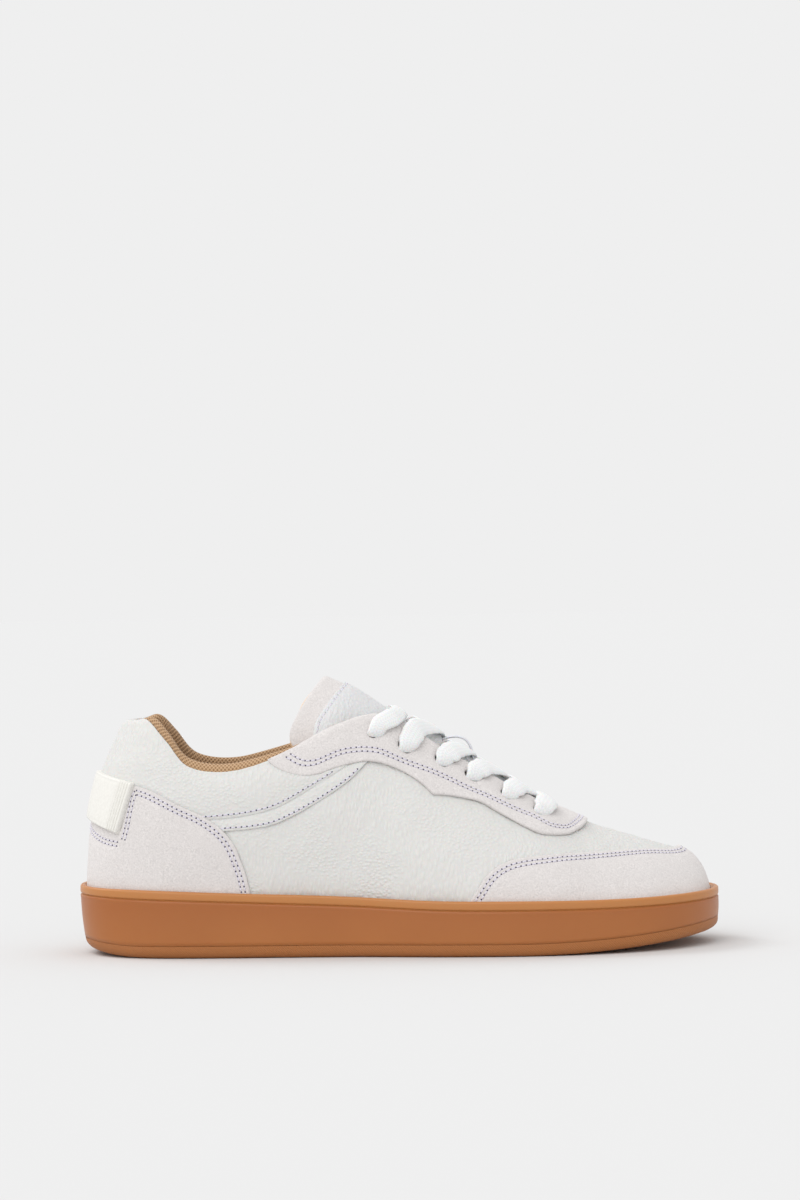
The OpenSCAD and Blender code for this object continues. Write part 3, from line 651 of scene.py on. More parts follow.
# ---------- materials ----------
class Nodes:
    """Short names for building a material's nodes."""

    def __init__(self, name):
        self.material = bpy.data.materials.new(name)
        self.material.use_nodes = True
        self.tree = self.material.node_tree
        self.shader = self.tree.nodes["Principled BSDF"]

    def add(self, kind, inputs=None, **settings):
        node = self.tree.nodes.new(f"ShaderNode{kind}")
        for key, value in settings.items():
            setattr(node, key, value)
        for key, value in (inputs or {}).items():
            if isinstance(value, bpy.types.NodeSocket):
                self.tree.links.new(value, node.inputs[key])
            else:
                node.inputs[key].default_value = value
        return node

    def place(self, stretch=(1, 1, 1), turn=(0, 0, 0), uv=False):
        source = self.add("TexCoord").outputs["UV" if uv else "Object"]
        return self.add("Mapping", {"Vector": source, "Scale": stretch, "Rotation": turn}).outputs[0]

    def noise(self, scale, detail=3.0, rough=0.5, where=None, warp=0.0):
        return self.add("TexNoise", {"Vector": where or self.place(), "Scale": scale, "Detail": detail,
                                     "Roughness": rough, "Distortion": warp}).outputs["Fac"]

    def cells(self, scale, where=None, chance=1.0, feature="F1"):
        inputs = {"Vector": where or self.place(), "Scale": scale, "Randomness": chance}
        node = self.add("TexVoronoi", inputs, feature=feature)
        if feature == "SMOOTH_F1":
            node.inputs["Smoothness"].default_value = 0.35
        return node.outputs["Distance"]

    def ramp(self, value, low, high, a=0.0, b=1.0):
        return self.add("MapRange", {"Value": value, "From Min": low, "From Max": high, "To Min": a,
                                     "To Max": b}).outputs[0]

    def math(self, what, a, b=0.0):
        return self.add("Math", {0: a, 1: b}, operation=what).outputs[0]

    def mix(self, share, a, b):
        node = self.add("Mix", {0: share}, data_type="RGBA")
        for k, c in ((6, a), (7, b)):
            if isinstance(c, bpy.types.NodeSocket):
                self.tree.links.new(c, node.inputs[k])
            else:
                node.inputs[k].default_value = (*c, 1)
        return node.outputs[2]

    def bump(self, height, depth, under=None):
        inputs = {"Height": height, "Distance": depth * MM, "Strength": 1.0}
        if under is not None:
            inputs["Normal"] = under
        return self.add("Bump", inputs).outputs[0]

    def done(self, colour, rough, normal=None, **plain):
        for key, value in (("Base Color", colour), ("Roughness", rough), ("Normal", normal)):
            if isinstance(value, bpy.types.NodeSocket):
                self.tree.links.new(value, self.shader.inputs[key])
            elif value is not None:
                self.shader.inputs[key].default_value = (*value, 1) if key == "Base Color" else value
        for key, value in plain.items():
            self.shader.inputs[key.replace("_", " ")].default_value = value
        return self.material


def shade(r, g, b):
    """A colour as seen on a screen, turned into light."""
    c = np.array([r, g, b]) / 255
    return tuple(float(v) for v in np.where(c <= 0.04045, c / 12.92, ((c + 0.055) / 1.055) ** 2.4))


def darker(c, k):
    return tuple(v * k for v in c)


def leather_material(name, colour):
    """Milled grain: round pebbles that give way to drawn-out ones in patches."""
    n = Nodes(name)
    pebbles = n.cells(640.0, n.place((1, 1, 1.25)), feature="SMOOTH_F1")
    drawn_out = n.cells(760.0, n.place((1, 1, 0.36)), feature="SMOOTH_F1")
    patches = n.ramp(n.noise(30.0, 2.0), 0.44, 0.58)
    grain = n.math("ADD", n.math("MULTIPLY", pebbles, n.math("SUBTRACT", 1.0, patches)),
                   n.math("MULTIPLY", drawn_out, patches))
    # Painted shade: darker in the hollows between the pebbles.
    tint = n.mix(n.ramp(grain, 0.25, 0.65, 0, 0.8), colour, darker(colour, 0.94))
    tint = n.mix(n.ramp(n.noise(24.0, 2.0), 0.35, 0.65, 0, 0.5), tint, darker(colour, 0.97))
    height = n.bump(n.ramp(grain, 0.05, 0.65, 1, 0), 0.24)
    height = n.bump(n.noise(2600.0, 2.0), 0.015, height)
    return n.done(tint, n.ramp(grain, 0.1, 0.6, 0.36, 0.5), height, Specular_IOR_Level=0.42,
                  Subsurface_Weight=0.06, Subsurface_Scale=0.002)


def suede_material(name, colour):
    """A short nap, darker where it is brushed aside."""
    n = Nodes(name)
    nap = n.noise(1250.0, 5.0, 0.75)
    brushed = n.noise(260.0, 4.0, 0.65, n.place((1.5, 1, 0.75)), 0.8)
    clouds = n.noise(55.0, 3.0, 0.55)
    tint = n.mix(n.ramp(nap, 0.38, 0.62), darker(colour, 0.79), tuple(min(v * 1.08, 1) for v in colour))
    tint = n.mix(n.ramp(brushed, 0.36, 0.64, 0, 0.7), tint, darker(colour, 0.93))
    tint = n.mix(n.ramp(clouds, 0.3, 0.7, 0, 0.4), tint, darker(colour, 0.94))
    height = n.bump(nap, 0.30)
    height = n.bump(brushed, 0.30, height)
    return n.done(tint, 0.95, height, Specular_IOR_Level=0.10, Sheen_Weight=0.22, Sheen_Roughness=0.5)


def rubber_material(name, colour, floor_lit):
    """Smooth gum rubber, painted lighter toward the floor as painted light."""
    n = Nodes(name)
    clouds = n.noise(22.0, 3.0, 0.5)
    grain = n.noise(2200.0, 3.0, 0.6)
    height_here = n.add("SeparateXYZ", {0: n.add("TexCoord").outputs["Object"]}).outputs[2]
    # Painted light: the colour turns lighter near the floor.
    tint = n.mix(n.ramp(height_here, 0.004, 0.022), floor_lit, colour)
    tint = n.mix(n.ramp(clouds, 0.3, 0.7, 0, 0.35), tint, darker(colour, 0.9))
    return n.done(tint, n.ramp(grain, 0.3, 0.7, 0.34, 0.44), n.bump(grain, 0.015), Specular_IOR_Level=0.5,
                  Subsurface_Weight=0.12, Subsurface_Radius=(1.0, 0.45, 0.2), Subsurface_Scale=0.003)


def tread_material(name, colour):
    """Gum rubber with fine slanted ribs."""
    n = Nodes(name)
    ribs = n.add("TexWave", {"Vector": n.place(uv=True), "Scale": 0.6, "Distortion": 0.0},
                 bands_direction="DIAGONAL").outputs["Fac"]
    grain = n.noise(2200.0, 3.0, 0.6)
    tint = n.mix(n.ramp(ribs, 0.1, 0.9, 0, 0.5), colour, darker(colour, 0.88))
    return n.done(tint, 0.5, n.bump(grain, 0.02, n.bump(ribs, 0.16)), Specular_IOR_Level=0.4)


def knit_material(name, light, painted_hole_shade, pitch):
    """A knit with holes pitch millimetres apart, in slanted rows: the holes are shallow dents painted dark as
    shade.
    """
    n = Nodes(name)
    where = n.place((1 / pitch, 1 / pitch * 0.8, 1), (0, 0, np.radians(45)), uv=True)
    holes = n.cells(1.0, where, 0.0)
    fuzz = n.noise(3000.0, 3.0, 0.6)
    # Painted shade: the holes take the dark colour.
    tint = n.mix(n.ramp(holes, 0.18, 0.5), painted_hole_shade, light)
    tint = n.mix(n.ramp(fuzz, 0.3, 0.7, 0, 0.35), tint, darker(light, 0.85))
    height = n.bump(n.ramp(holes, 0.1, 0.6), 0.35)
    return n.done(tint, 0.85, n.bump(fuzz, 0.06, height), Specular_IOR_Level=0.2, Sheen_Weight=0.2)


def cloth_material(name, colour, thread_size):
    """A plain weave of threads thread_size millimetres across."""
    n = Nodes(name)
    wave = {"Vector": n.place(), "Scale": 1000 / thread_size / 6.3, "Distortion": 0.6, "Detail": 1.0}
    warp, weft = (n.add("TexWave", wave, bands_direction=way).outputs["Fac"] for way in "XY")
    weave = n.math("MULTIPLY", warp, weft)
    fuzz = n.noise(2500.0, 3.0, 0.6)
    # Painted shade: darker where the weave sinks between the threads.
    tint = n.mix(n.ramp(weave, 0.0, 0.7), darker(colour, 0.86), colour)
    tint = n.mix(n.ramp(fuzz, 0.3, 0.7, 0, 0.3), tint, darker(colour, 0.93))
    height = n.bump(fuzz, 0.05, n.bump(weave, 0.12))
    return n.done(tint, 0.9, height, Specular_IOR_Level=0.15, Sheen_Weight=0.2)


def braid_material(name, colour):
    """A flat woven lace: chevrons of thread that run along it."""
    n = Nodes(name)
    lengthwise, around, _ = n.add("SeparateXYZ", {0: n.add("TexCoord").outputs["UV"]}).outputs
    saw = n.math("FRACT", n.math("MULTIPLY", around, 0.36))
    chevron = n.math("ABSOLUTE", n.math("SUBTRACT", saw, 0.5))
    slanted = n.math("ADD", n.math("MULTIPLY", lengthwise, 0.9), n.math("MULTIPLY", chevron, 1.6))
    strand = n.math("SINE", n.math("MULTIPLY", slanted, 6.283))
    row = n.math("SINE", n.math("MULTIPLY", around, 6.283 * 0.72))
    height = n.ramp(n.math("ADD", strand, n.math("MULTIPLY", row, 0.6)), -1.6, 1.6)
    fuzz = n.noise(2600.0, 3.0, 0.7)
    # Painted shade: darker in the grooves between the strands.
    tint = n.mix(height, darker(colour, 0.86), colour)
    tint = n.mix(n.ramp(fuzz, 0.3, 0.7, 0, 0.3), tint, darker(colour, 0.95))
    relief = n.bump(fuzz, 0.05, n.bump(height, 0.09))
    return n.done(tint, 0.9, relief, Specular_IOR_Level=0.15, Sheen_Weight=0.25, Subsurface_Weight=0.1,
                  Subsurface_Scale=0.002)


def plain_material(name, colour, rough, grain=400.0, depth=0.05):
    n = Nodes(name)
    speckle = n.noise(grain, 4.0, 0.6)
    tint = n.mix(n.ramp(speckle, 0.3, 0.7), darker(colour, 0.92), colour)
    return n.done(tint, rough, n.bump(speckle, depth))


# Dark discs for the needle holes: painted shade.
def shade_disc_material(name, colour):
    n = Nodes(name)
    return n.done(n.mix(n.noise(900.0), darker(colour, 0.7), colour), 1.0, Specular_IOR_Level=0.0)


white_leather = leather_material("white_leather", shade(219, 218, 215))
tongue_leather = leather_material("tongue_leather", shade(221, 221, 222))
pale_suede = suede_material("pale_suede", shade(229, 224, 222))
# The second colour is the painted light near the floor.
gum = rubber_material("gum_rubber", shade(165, 96, 42), shade(177, 110, 54))
gum_tread = tread_material("gum_tread", shade(173, 109, 58))
# The lip's paler colour is a painted highlight.
gum_lip_highlight = rubber_material("gum_lip_highlight", shade(188, 124, 66), shade(188, 124, 66))
# The second colour is the painted shade in the knit's holes.
tan_knit = knit_material("tan_knit", shade(208, 172, 134), shade(140, 102, 68), 1.15)
vamp_cloth = cloth_material("cream_lining", shade(238, 230, 216), 0.6)
tongue_cloth = cloth_material("tongue_cloth", shade(246, 218, 190), 0.5)
insole_cloth = cloth_material("insole_cloth", shade(214, 180, 140), 0.7)
insole_foam = plain_material("insole_foam", shade(120, 122, 126), 0.9)
cream_rubber = plain_material("cream_rubber", shade(234, 232, 226), 0.42, 900.0, 0.02)
lace_cotton = braid_material("lace_cotton", shade(240, 241, 241))
keeper_leather = leather_material("keeper_leather", shade(222, 223, 228))
thread = cloth_material("thread", shade(236, 232, 244), 0.25)
hole_shadow = shade_disc_material("needle_hole", shade(92, 86, 110))
aglet_film = plain_material("aglet_film", shade(238, 238, 238), 0.25)


def finish_piece(piece, slot, *nodes, body="shoe"):
    """Puts a piece on a body, in place of the CAD's nodes; slot is not used."""
    if body:
        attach(piece, body)
    if nodes:
        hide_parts(*nodes)
    return piece


# ---------- camera ----------
CAMERA_PLACE = (0.0021, -1.40, 0.152)
CAMERA_ROLL = -1.0
LENS, SENSOR = 95.7, 36
bpy.ops.object.camera_add(location=CAMERA_PLACE, rotation=(np.pi / 2, 0, 0))
camera = bpy.context.object
camera.rotation_euler.rotate_axis("Z", np.radians(CAMERA_ROLL))
camera.data.lens = LENS
camera.data.sensor_width = SENSOR
bpy.context.scene.camera = camera


# ---------- sole ----------
def lofted(name, degs, profile, material, floored=False):
    """Sections all round the shoe; profile gives offset from the feather line and height for each deg."""
    n = len(degs)
    degs = np.append(degs, 360.0)
    off, z = (values.T for values in profile(degs))
    m = z.shape[1]
    p = with_height(outline(degs[:, None], off), z)
    faces = grid_faces(n + 1, m)
    if floored:
        rungs = [(i, i + 1, (n - 1 - i) % n, (n - i) % n) for i in range(n // 2)]
        faces += [[section * m + m - 1 for section in rung] for rung in rungs]
    uv = np.stack([np.repeat(np.interp(degs, TABLE_DEG, ROUND), m), z.ravel()], -1)
    return merged(make(name, p.reshape(-1, 3), faces, material, uv))


def bridge(th, off, share):
    """A grid of places across the shoe, from off outside the lateral feather line to the medial one."""
    a, b = outline(th, off), outline(360 - th, off)
    return a[:, None] + (b - a)[:, None] * share[None, :, None]


LIP, TREAD_BAND = 4.0, 5.4


def sidewall_in(deg, up):
    """How far the sidewall leans in from the rim at a share of its height: more at the heel."""
    back = np.exp(-((half_turn(deg) / 42) ** 2))
    return (0.5 + 1.9 * back) * (1 - up) ** 1.6


def arc_rows(start, end, count, off, z, wide, high):
    """Section rows on an arc of an ellipse round off and z, from start to end degrees."""
    return [(off + wide * np.cos(k), z + high * np.sin(k)) for k in np.radians(np.linspace(start, end, count))]


def sole_side(deg):
    """The cup's lip, groove, sidewall and the shelf above the tread, from the inside over to the foot."""
    x, y = plan(deg).T
    r, s = rim(x), spring(x)
    lip_foot, shelf = r - LIP, s + TREAD_BAND
    level = np.zeros_like(x)
    wave = 0.12 * ripple(np.stack([x, y, level], -1), 60, 3)
    rows = [(level - 0.2, r - FLANGE), (level + SUEDE + 0.1, r - 3), (level + SUEDE + 0.15, r - 0.7 + wave)]
    rows += arc_rows(160, 0, 9, RIM_OUT - 1.25 + level, r - 1.0 + wave, 1.25, 1.0)
    rows += arc_rows(0, -80, 5, RIM_OUT - 0.9 + level, lip_foot + 1.1, 0.9, 0.9)
    rows.append((RIM_OUT - 0.95 + level, lip_foot - 0.05))
    rows += arc_rows(80, 0, 5, RIM_OUT - 0.75 - sidewall_in(deg, 1.0), lip_foot - 0.95, 0.75, 0.85)
    for t in np.linspace(0.06, 1, 10):
        z = lerp(lip_foot - 0.95, shelf, t)
        rows.append((RIM_OUT - sidewall_in(deg, (z - s) / (r - s)) + 0.15 * np.sin(np.pi * t), z))
    rows.append((RIM_OUT - 0.2 - sidewall_in(deg, TREAD_BAND / (r - s)), shelf - 0.06))
    return (np.array(values) for values in zip(*rows))


def foot_corner(deg):
    """The radius of the tread's lower corner and how far in its flat foot starts."""
    x = plan(deg)[..., 0]
    big = 3.2 + 2.2 * np.exp(-((half_turn(deg) / 35) ** 2))
    return big, RIM_OUT - 0.1 - sidewall_in(deg, big / (rim(x) - spring(x)))


def tread_side(deg):
    """The tread's own band: its ribbed side, its round lower corner and a margin of the underside."""
    x = plan(deg)[..., 0]
    s, r = spring(x), rim(x)
    tread_top = s + TREAD_BAND - 0.14
    big, corner = foot_corner(deg)
    rows = [(np.full(len(x), RIM_OUT - 4), tread_top)]
    rows.append((RIM_OUT - 0.2 - sidewall_in(deg, TREAD_BAND / (r - s)), tread_top))
    for t in np.linspace(0.05, 0.95, 3):
        z = lerp(s + TREAD_BAND - 0.2, s + big, t)
        rows.append((RIM_OUT - 0.1 - sidewall_in(deg, (z - s) / (r - s)), z))
    rows += arc_rows(0, -90, 8, corner - big, s + big, big, big)
    rows.append((corner - big - 2, s))
    return (np.array(values) for values in zip(*rows))


def inner_floor(deg):
    """The cup's inside, under the board."""
    x = plan(deg)[..., 0]
    return np.full((2, len(x)), -0.2), np.array([rim(x) - FLANGE, spring(x) + TREAD])


BALL_X, BALL_Y, BALL_RADIUS = 72, 2, 33
RING_PITCH, WAVE_PITCH, GROOVE_DEPTH = 6.0, 7.0, 1.1


def tread_pattern(x, y):
    """Depth of the grooves under the shoe: rings to turn on at the ball, and waves elsewhere."""
    ball = np.hypot(x - BALL_X, y - BALL_Y)
    rings = np.abs(np.mod(ball, RING_PITCH) - RING_PITCH / 2)
    waves = np.abs(np.mod(x + 3.0 * np.sin(y / 5.0), WAVE_PITCH) - WAVE_PITCH / 2)
    line = np.where(ball < BALL_RADIUS, rings, waves)
    return GROOVE_DEPTH * step(line, 0.9, 0.4) * step(np.abs(ball - BALL_RADIUS), 0.6, 1.2)


def underside():
    """The patterned tread, inside the margin that the band leaves."""
    th = np.linspace(1.5, 178.5, 380)
    share = np.linspace(0, 1, 110)
    big, corner = foot_corner(th)
    p = bridge(th, corner - big - 1.9, share)
    s = spring(p[..., 0])
    inside_margin = step(np.minimum(share, 1 - share)[None, :] * 2, 0.03, 0.09)
    low = s + 0.04 + tread_pattern(p[..., 0], p[..., 1]) * inside_margin
    return shell("outsole_tread", with_height(p, low), with_height(p, s + TREAD - 0.3), gum_tread, p)


def cup_with_lip_highlight():
    """The cup, with its lip in a paler colour: a painted highlight on the lip's upward face."""
    piece = lofted("cup_sidewall", ALL_ROUND, sole_side, gum)
    piece.data.materials.append(gum_lip_highlight)
    # The lip's faces take the paler colour, a painted highlight.
    for face in piece.data.polygons:
        x, _, z = np.array(face.center) / MM
        if z > rim(x) - LIP - 0.3:
            face.material_index = 1
    return piece


finish_piece(cup_with_lip_highlight(), "gum_rubber", "cupsole")
finish_piece(lofted("tread_band", np.arange(0, 360, 0.5), tread_side, gum_tread), "gum_rubber")
finish_piece(lofted("cup_inside", ALL_ROUND, inner_floor, gum, floored=True), "gum_rubber")
finish_piece(underside(), "gum_rubber")


# ---------- footbed ----------
FOOTBED_OFF = -6.5


def footbed(name, low, high, material, crown=0.0):
    """One layer of the footbed, from low to high above the board, with its rim cupped up by crown."""
    th = np.linspace(1, 179, 150)
    share = (1 - np.cos(np.linspace(0, np.pi, 44))) / 2
    p = bridge(th, np.full(len(th), FOOTBED_OFF), share)
    x = p[..., 0]
    out = np.abs(2 * share - 1)[None, :]
    sides = crown * out**4 * (0.4 + 0.6 * step(-x, -40, 100))
    ends = crown * 0.8 * step(np.minimum(th, 180 - th), 24, 2)[:, None] * (x < 0)
    base = rim(x) - FLANGE
    rounded = 0.6 * step(out, 0.97, 1.0)
    up = base + high + np.maximum(sides, ends) - rounded + 0.15 * ripple(p[..., [0, 1, 1]], 45, 5)
    return shell(name, with_height(p, up), with_height(p, base + low), material, p)


footbed_cloth = footbed("footbed_cloth", 5.0, 6.1, insole_cloth, 1.6)
footbed_pad = footbed("footbed_pad", 0.3, 4.9, insole_foam)
finish_piece(footbed_cloth, "insole_cloth", "footbed_cover", body="footbed")
finish_piece(footbed_pad, "insole_foam", "footbed_foam", body="footbed")


# ---------- upper ----------
def sheet_between(degs, low, high, rows, outer_d, inner_d, end_low=0.0, end_high=0.0):
    """Two grids over meridians degs from low to high, with the outer face eased down at its ends.

    outer_d gives the outer face's rise at deg and h, v millimetres up the meridian and from_low above low."""
    t = np.linspace(0, 1, rows)
    t = np.where(t < 0.5, 0.5 * (2 * t) ** 1.25, 1 - 0.5 * (2 - 2 * t) ** 1.25)
    v0, v1 = height_up(degs, low), height_up(degs, high)
    v = v0[:, None] + (v1 - v0)[:, None] * t[None, :]
    deg = np.repeat(degs[:, None], rows, 1)
    h = at_height(deg, v)
    h[:, 0], h[:, -1] = low, high
    from_low, to_high = v - v0[:, None], v1[:, None] - v
    ease = np.ones_like(v)
    for end, from_end in ((end_low, from_low), (end_high, to_high)):
        if end:
            ease *= np.sqrt(1 - (1 - np.clip(from_end / end, 0, 1)) ** 2)
    outer = skin(deg, h, lerp(inner_d, outer_d(deg, h, v, from_low), ease))
    inner = skin(deg, h, inner_d)
    return outer, inner, np.stack([np.interp(np.mod(deg, 360), TABLE_DEG, ROUND), v], -1)


def near_eyelets(radius):
    """A test for faces whose middles lie by an eyelet."""
    deg, h = spot(EYELETS)
    centres = np.concatenate([wall(deg, h), wall(360 - deg, h)])
    return lambda c: (np.linalg.norm(c[:, None] - centres[None], axis=2) < radius + 1.4).any(1)


def leather_rise(deg, h, v, from_low):
    """How far the quarters and the vamp stand off the upper's face."""
    p = wall(deg, h)
    return 0.22 * ripple(p, 34, 11) + 0.10 * ripple(p * [1.6, 1, 0.8], 9, 12)


def quarters_and_vamp():
    high = np.where(half_turn(ALL_ROUND) < 90, np.minimum(crossing(ALL_ROUND, CREASE), 1), 1.0)
    outer, inner, uv = sheet_between(ALL_ROUND, 0 * high, high, 74, leather_rise, -LEATHER)
    return shell("quarters_and_vamp", outer, inner, white_leather, uv, ring=True, drop=near_eyelets(1.6))


finish_piece(quarters_and_vamp(), "white_leather", "vamp_quarters")


STAY_LINE, COUNTER_LINE = line_of(STAY_BACK), line_of(COUNTER_EDGE[::-1])


def covered(deg, h):
    """1 where the eyestay or the heel overlay lies over the collar."""
    p = wall(deg, h)
    x, z = p[..., 0] / SX, BASE_Z + (p[..., 2] - BASE_Z) / SZ
    stay = step(z - STAY_LINE(x), -0.6, 1.4) * step(x, -57.5, -55.5)
    return np.maximum(stay, step(COUNTER_LINE(x) - z, -0.6, 1.4) * step(x, -60, -62))


def collar_rise(deg, h, v, from_low):
    """The padded collar's puff, pressed down where another panel covers it."""
    whole = np.maximum(height_up(deg, 1.0) - roll_height(deg) - (v - from_low), 1)
    puff = np.sin(np.pi * np.clip(from_low / whole, 0, 1)) ** 0.8
    p = wall(deg, h)
    puffed_up = 0.85 + 1.0 * puff + 0.25 * ripple(p, 30, 21) + 0.10 * ripple(p * [1.4, 1, 0.7], 8, 22)
    return lerp(puffed_up, 0.25, covered(deg, h))


def collar():
    degs = np.arange(-83, 83.5, 0.75)
    low = np.minimum(crossing(degs, CREASE), 0.98)
    outer, inner, uv = sheet_between(degs, low, np.ones(len(degs)), 60, collar_rise, 0.3 - LEATHER, 0.9, 0.8)
    return shell("collar_leather", outer, inner, white_leather, uv)


finish_piece(collar(), "white_leather", "collar_panel")


def stripe_rise(deg, h, v, from_low):
    """The stripe's face, which dips into the crease under the collar."""
    high = height_up(deg, crossing(deg, CREASE))
    valley = np.exp(-np.clip(high - v, 0, 9) / 1.3)
    return lerp(0.95 - 0.45 * valley + 0.10 * ripple(wall(deg, h), 12, 25), 0.2, covered(deg, h))


def above(degs, line, up):
    """The h that lies up millimetres above a side-view line."""
    return at_height(degs, height_up(degs, crossing(degs, line)) + up)


def stripe(name, sign, node):
    th = np.arange(50, 87.2, 0.5)
    degs = th if sign < 0 else (360 - th)[::-1]
    low = crossing(degs, STRIPE_LOW)
    high = at_height(degs, height_up(degs, np.maximum(crossing(degs, CREASE), low + 0.012)) + 1.2)
    outer, inner, uv = sheet_between(degs, low, np.minimum(high, 0.97), 22, stripe_rise, 0.0, 0.6)
    return finish_piece(shell(name, outer, inner, white_leather, uv), "white_leather", node)


stripe("lateral_stripe", -1, "stripe_lateral")
stripe("medial_stripe", 1, "stripe_medial")


# ---------- suede overlays ----------
def mirror_ring(ab, middle):
    """The other side's copy of a plane line that ends on the heel's or the toe's middle."""
    deg, h = ring_from(ab)
    return ring_to(2 * middle - deg, h)[::-1]


def smooth_plane(points, to, spacing=1.0):
    """A side-view line as closely spaced points in an unrolled plane."""
    return dense(to(*spot(dense(points, 2.0))), spacing)


def to_heel(points, z):
    """The plane line through points and on to height z at the middle of the heel."""
    middle = (0.0, crossing(np.array(0.0), z))
    return dense(ring_to(*[np.append(values, end) for values, end in zip(spot(points), middle)]), 1.0)


def overlay(name, node, loops, plane_from, thick, rows, sewn_at, waves, **cut):
    """A suede panel with waves of size, seed and amount, and the thread in its rows."""
    size, seed, amount = waves

    def relief(p):
        return amount * ripple(p, size, seed) + 0.05 * ripple(p, 7, seed + 1)

    finish_piece(panel(name, loops, plane_from, thick, pale_suede, rows, relief, **cut), "pale_suede", node)
    sew_on(plane_from, rows, sewn_at, relief)


def lower_edge(half, h, count):
    """The hidden lower edge, at h, from the mirrored end of a half line back to its start."""
    first = ring_from(half[:1])[0][0]
    last = -first if first < 90 else 360 - first
    return ring_to(np.linspace(last, first, count), np.full(count, h))


def heel_overlay():
    """Up from the cup on the lateral side, round the notch under the tab, and the same behind."""
    front = smooth_plane(COUNTER_EDGE, ring_to)
    notch = smooth_plane([*COUNTER_NOTCH[:-1], [-119.6, 54.4]], ring_to)
    under_tab = to_heel([[-119.6, 54.4], [-124.5, 57.2], [-130, 59.6]], 62.0)
    notch_sewn = smooth_plane(COUNTER_NOTCH, ring_to)
    tab_sewn = to_heel([[-120.4, 51.6], [-126, 52.6], [-131, 55]], 58.0)
    half = np.concatenate([front[:-1], notch[:-1], under_tab])
    loop = np.concatenate([half[:-1], mirror_ring(half, 0.0)[:-1], lower_edge(half, 0.09, 120)[1:-1]])
    rows = []
    for off in (2.0, 3.7):
        for edge_line in (front, notch_sewn, tab_sewn):
            row = beside(edge_line, off)
            row = row[distance_to(row, half) > off - 0.15]
            rows += [row, mirror_ring(row, 0.0)]
    overlay("heel_suede", "heel_overlay", [loop], ring_from, SUEDE + 0.1, rows, SUEDE - 0.02, (26, 31, 0.2))


def toe_overlay():
    """Up from the cup and along to the ridge, where both sides meet in a blunt point."""
    cap = smooth_plane(CAP_EDGE, ring_to)
    cap_deg = ring_from(cap[-1:])[0][0]
    degs = np.linspace(cap_deg, 180, 16)[1:]
    past = (degs - cap_deg) / (180 - cap_deg)
    h = crossing(degs, 41.0 - 0.7 * np.sin(np.pi * past)) * lerp(1.0, 0.985, past)
    half = dense(np.concatenate([cap[::3], ring_to(degs, h)]), 1.0)
    upper = np.concatenate([half[:-1], mirror_ring(half, 180.0)])
    loop = np.concatenate([upper, lower_edge(half, 0.07, 160)[1:-1]])
    rows = [beside(upper, off) for off in (-1.9, -3.6)]
    overlay("toe_suede", "toe_overlay", [loop], ring_from, SUEDE + 0.1, rows, SUEDE - 0.02, (30, 41, 0.16))


heel_overlay()
toe_overlay()

STAY_ROW = [[-50.5, 87], [-47.7, 85], [-43, 82.2], [-39.4, 81.4], [-35, 81.9], [-30.3, 83.8], [-24, 86.1],
            [-17.5, 86.9], [-12, 86.7], [-7, 85.6], [1, 82.1], [10, 78.4], [19.6, 74.2], [29, 69.7],
            [38.4, 65.2], [48, 60.7], [57.3, 56.5], [64, 52.7], [68, 51.6], [72, 51.2]]
STAY_REACH, STAY_ROW_REACH = 82.4, 80.0
EYELET_RADIUS, SLIT = 2.5, 0.02
MIRRORED = [1, -1]


def at_x(x, down):
    """The ridge plane's place at x that lies down below the ridge."""
    th = np.arange(116.0, 168.0)
    found = []
    for one_x, one_down in zip(x, down):
        xs = wall(th, at_height(th, height_up(th, 1.0) - abs(one_down)))[:, 0]
        found.append([np.interp(one_x, xs, ROUND[116:168]), one_down])
    return np.array(found)


def round_end(line, reach):
    """The line carried round to the ridge at x = reach as a quarter of an ellipse."""
    start = wall(*ridge_from(line[-1:]))[0, 0]
    k = np.radians(np.linspace(0, 90, 10))[1:]
    return np.concatenate([line, at_x(start + (reach * SX - start) * np.sin(k), line[-1, 1] * np.cos(k))])


def split_rows(row, keep):
    """The unbroken stretches of a row that are kept."""
    cuts = np.flatnonzero(np.diff(keep.astype(int))) + 1
    return [part for part, k in zip(np.split(row, cuts), np.split(keep, cuts)) if k[0] and len(part) > 3]


def eyestay():
    """One panel that rounds the throat, cut open along it, with an eyelet hole for each lace run."""
    back, front = smooth_plane(STAY_BACK, ridge_to), smooth_plane(STAY_FRONT, ridge_to)
    low_side = np.concatenate([back[:-1], round_end(front, STAY_REACH)])
    throat = np.interp(THROAT_END, TABLE_DEG[:181], ROUND[:181])
    slit = np.column_stack([np.arange(low_side[0, 0] + 1.0, throat, 1.0)] * 2)
    slit[:, 1] = -SLIT
    far_side = (low_side * MIRRORED)[::-1]
    loop = np.concatenate([low_side, far_side[1:], slit * MIRRORED, [[throat, 0.0]], slit[::-1]])
    rim_of_hole = EYELET_RADIUS * circle(np.array([1, 0]), np.array([0, 1]), 24)
    holes = [place * [1, s] + rim_of_hole for place in ridge_to(*spot(EYELETS)) for s in MIRRORED]
    half_row = round_end(smooth_plane(STAY_ROW, ridge_to), STAY_ROW_REACH)
    whole_row = np.concatenate([half_row[:-1], (half_row * MIRRORED)[::-1]])
    rows = []
    for off in (0.0, 1.75):
        row = beside(whole_row, off)
        clear = (np.abs(row[:, 1]) > 2.6) | (row[:, 0] > throat)
        rows += split_rows(row, clear & within(row, [loop]) & (distance_to(row, low_side) > 1.2))
    overlay("eyestay_suede", "eyestay", [loop, *holes], ridge_from, SUEDE + 0.15, rows, SUEDE + 0.28,
            (24, 51, 0.16), spacing=1.5, lift=0.35)


eyestay()

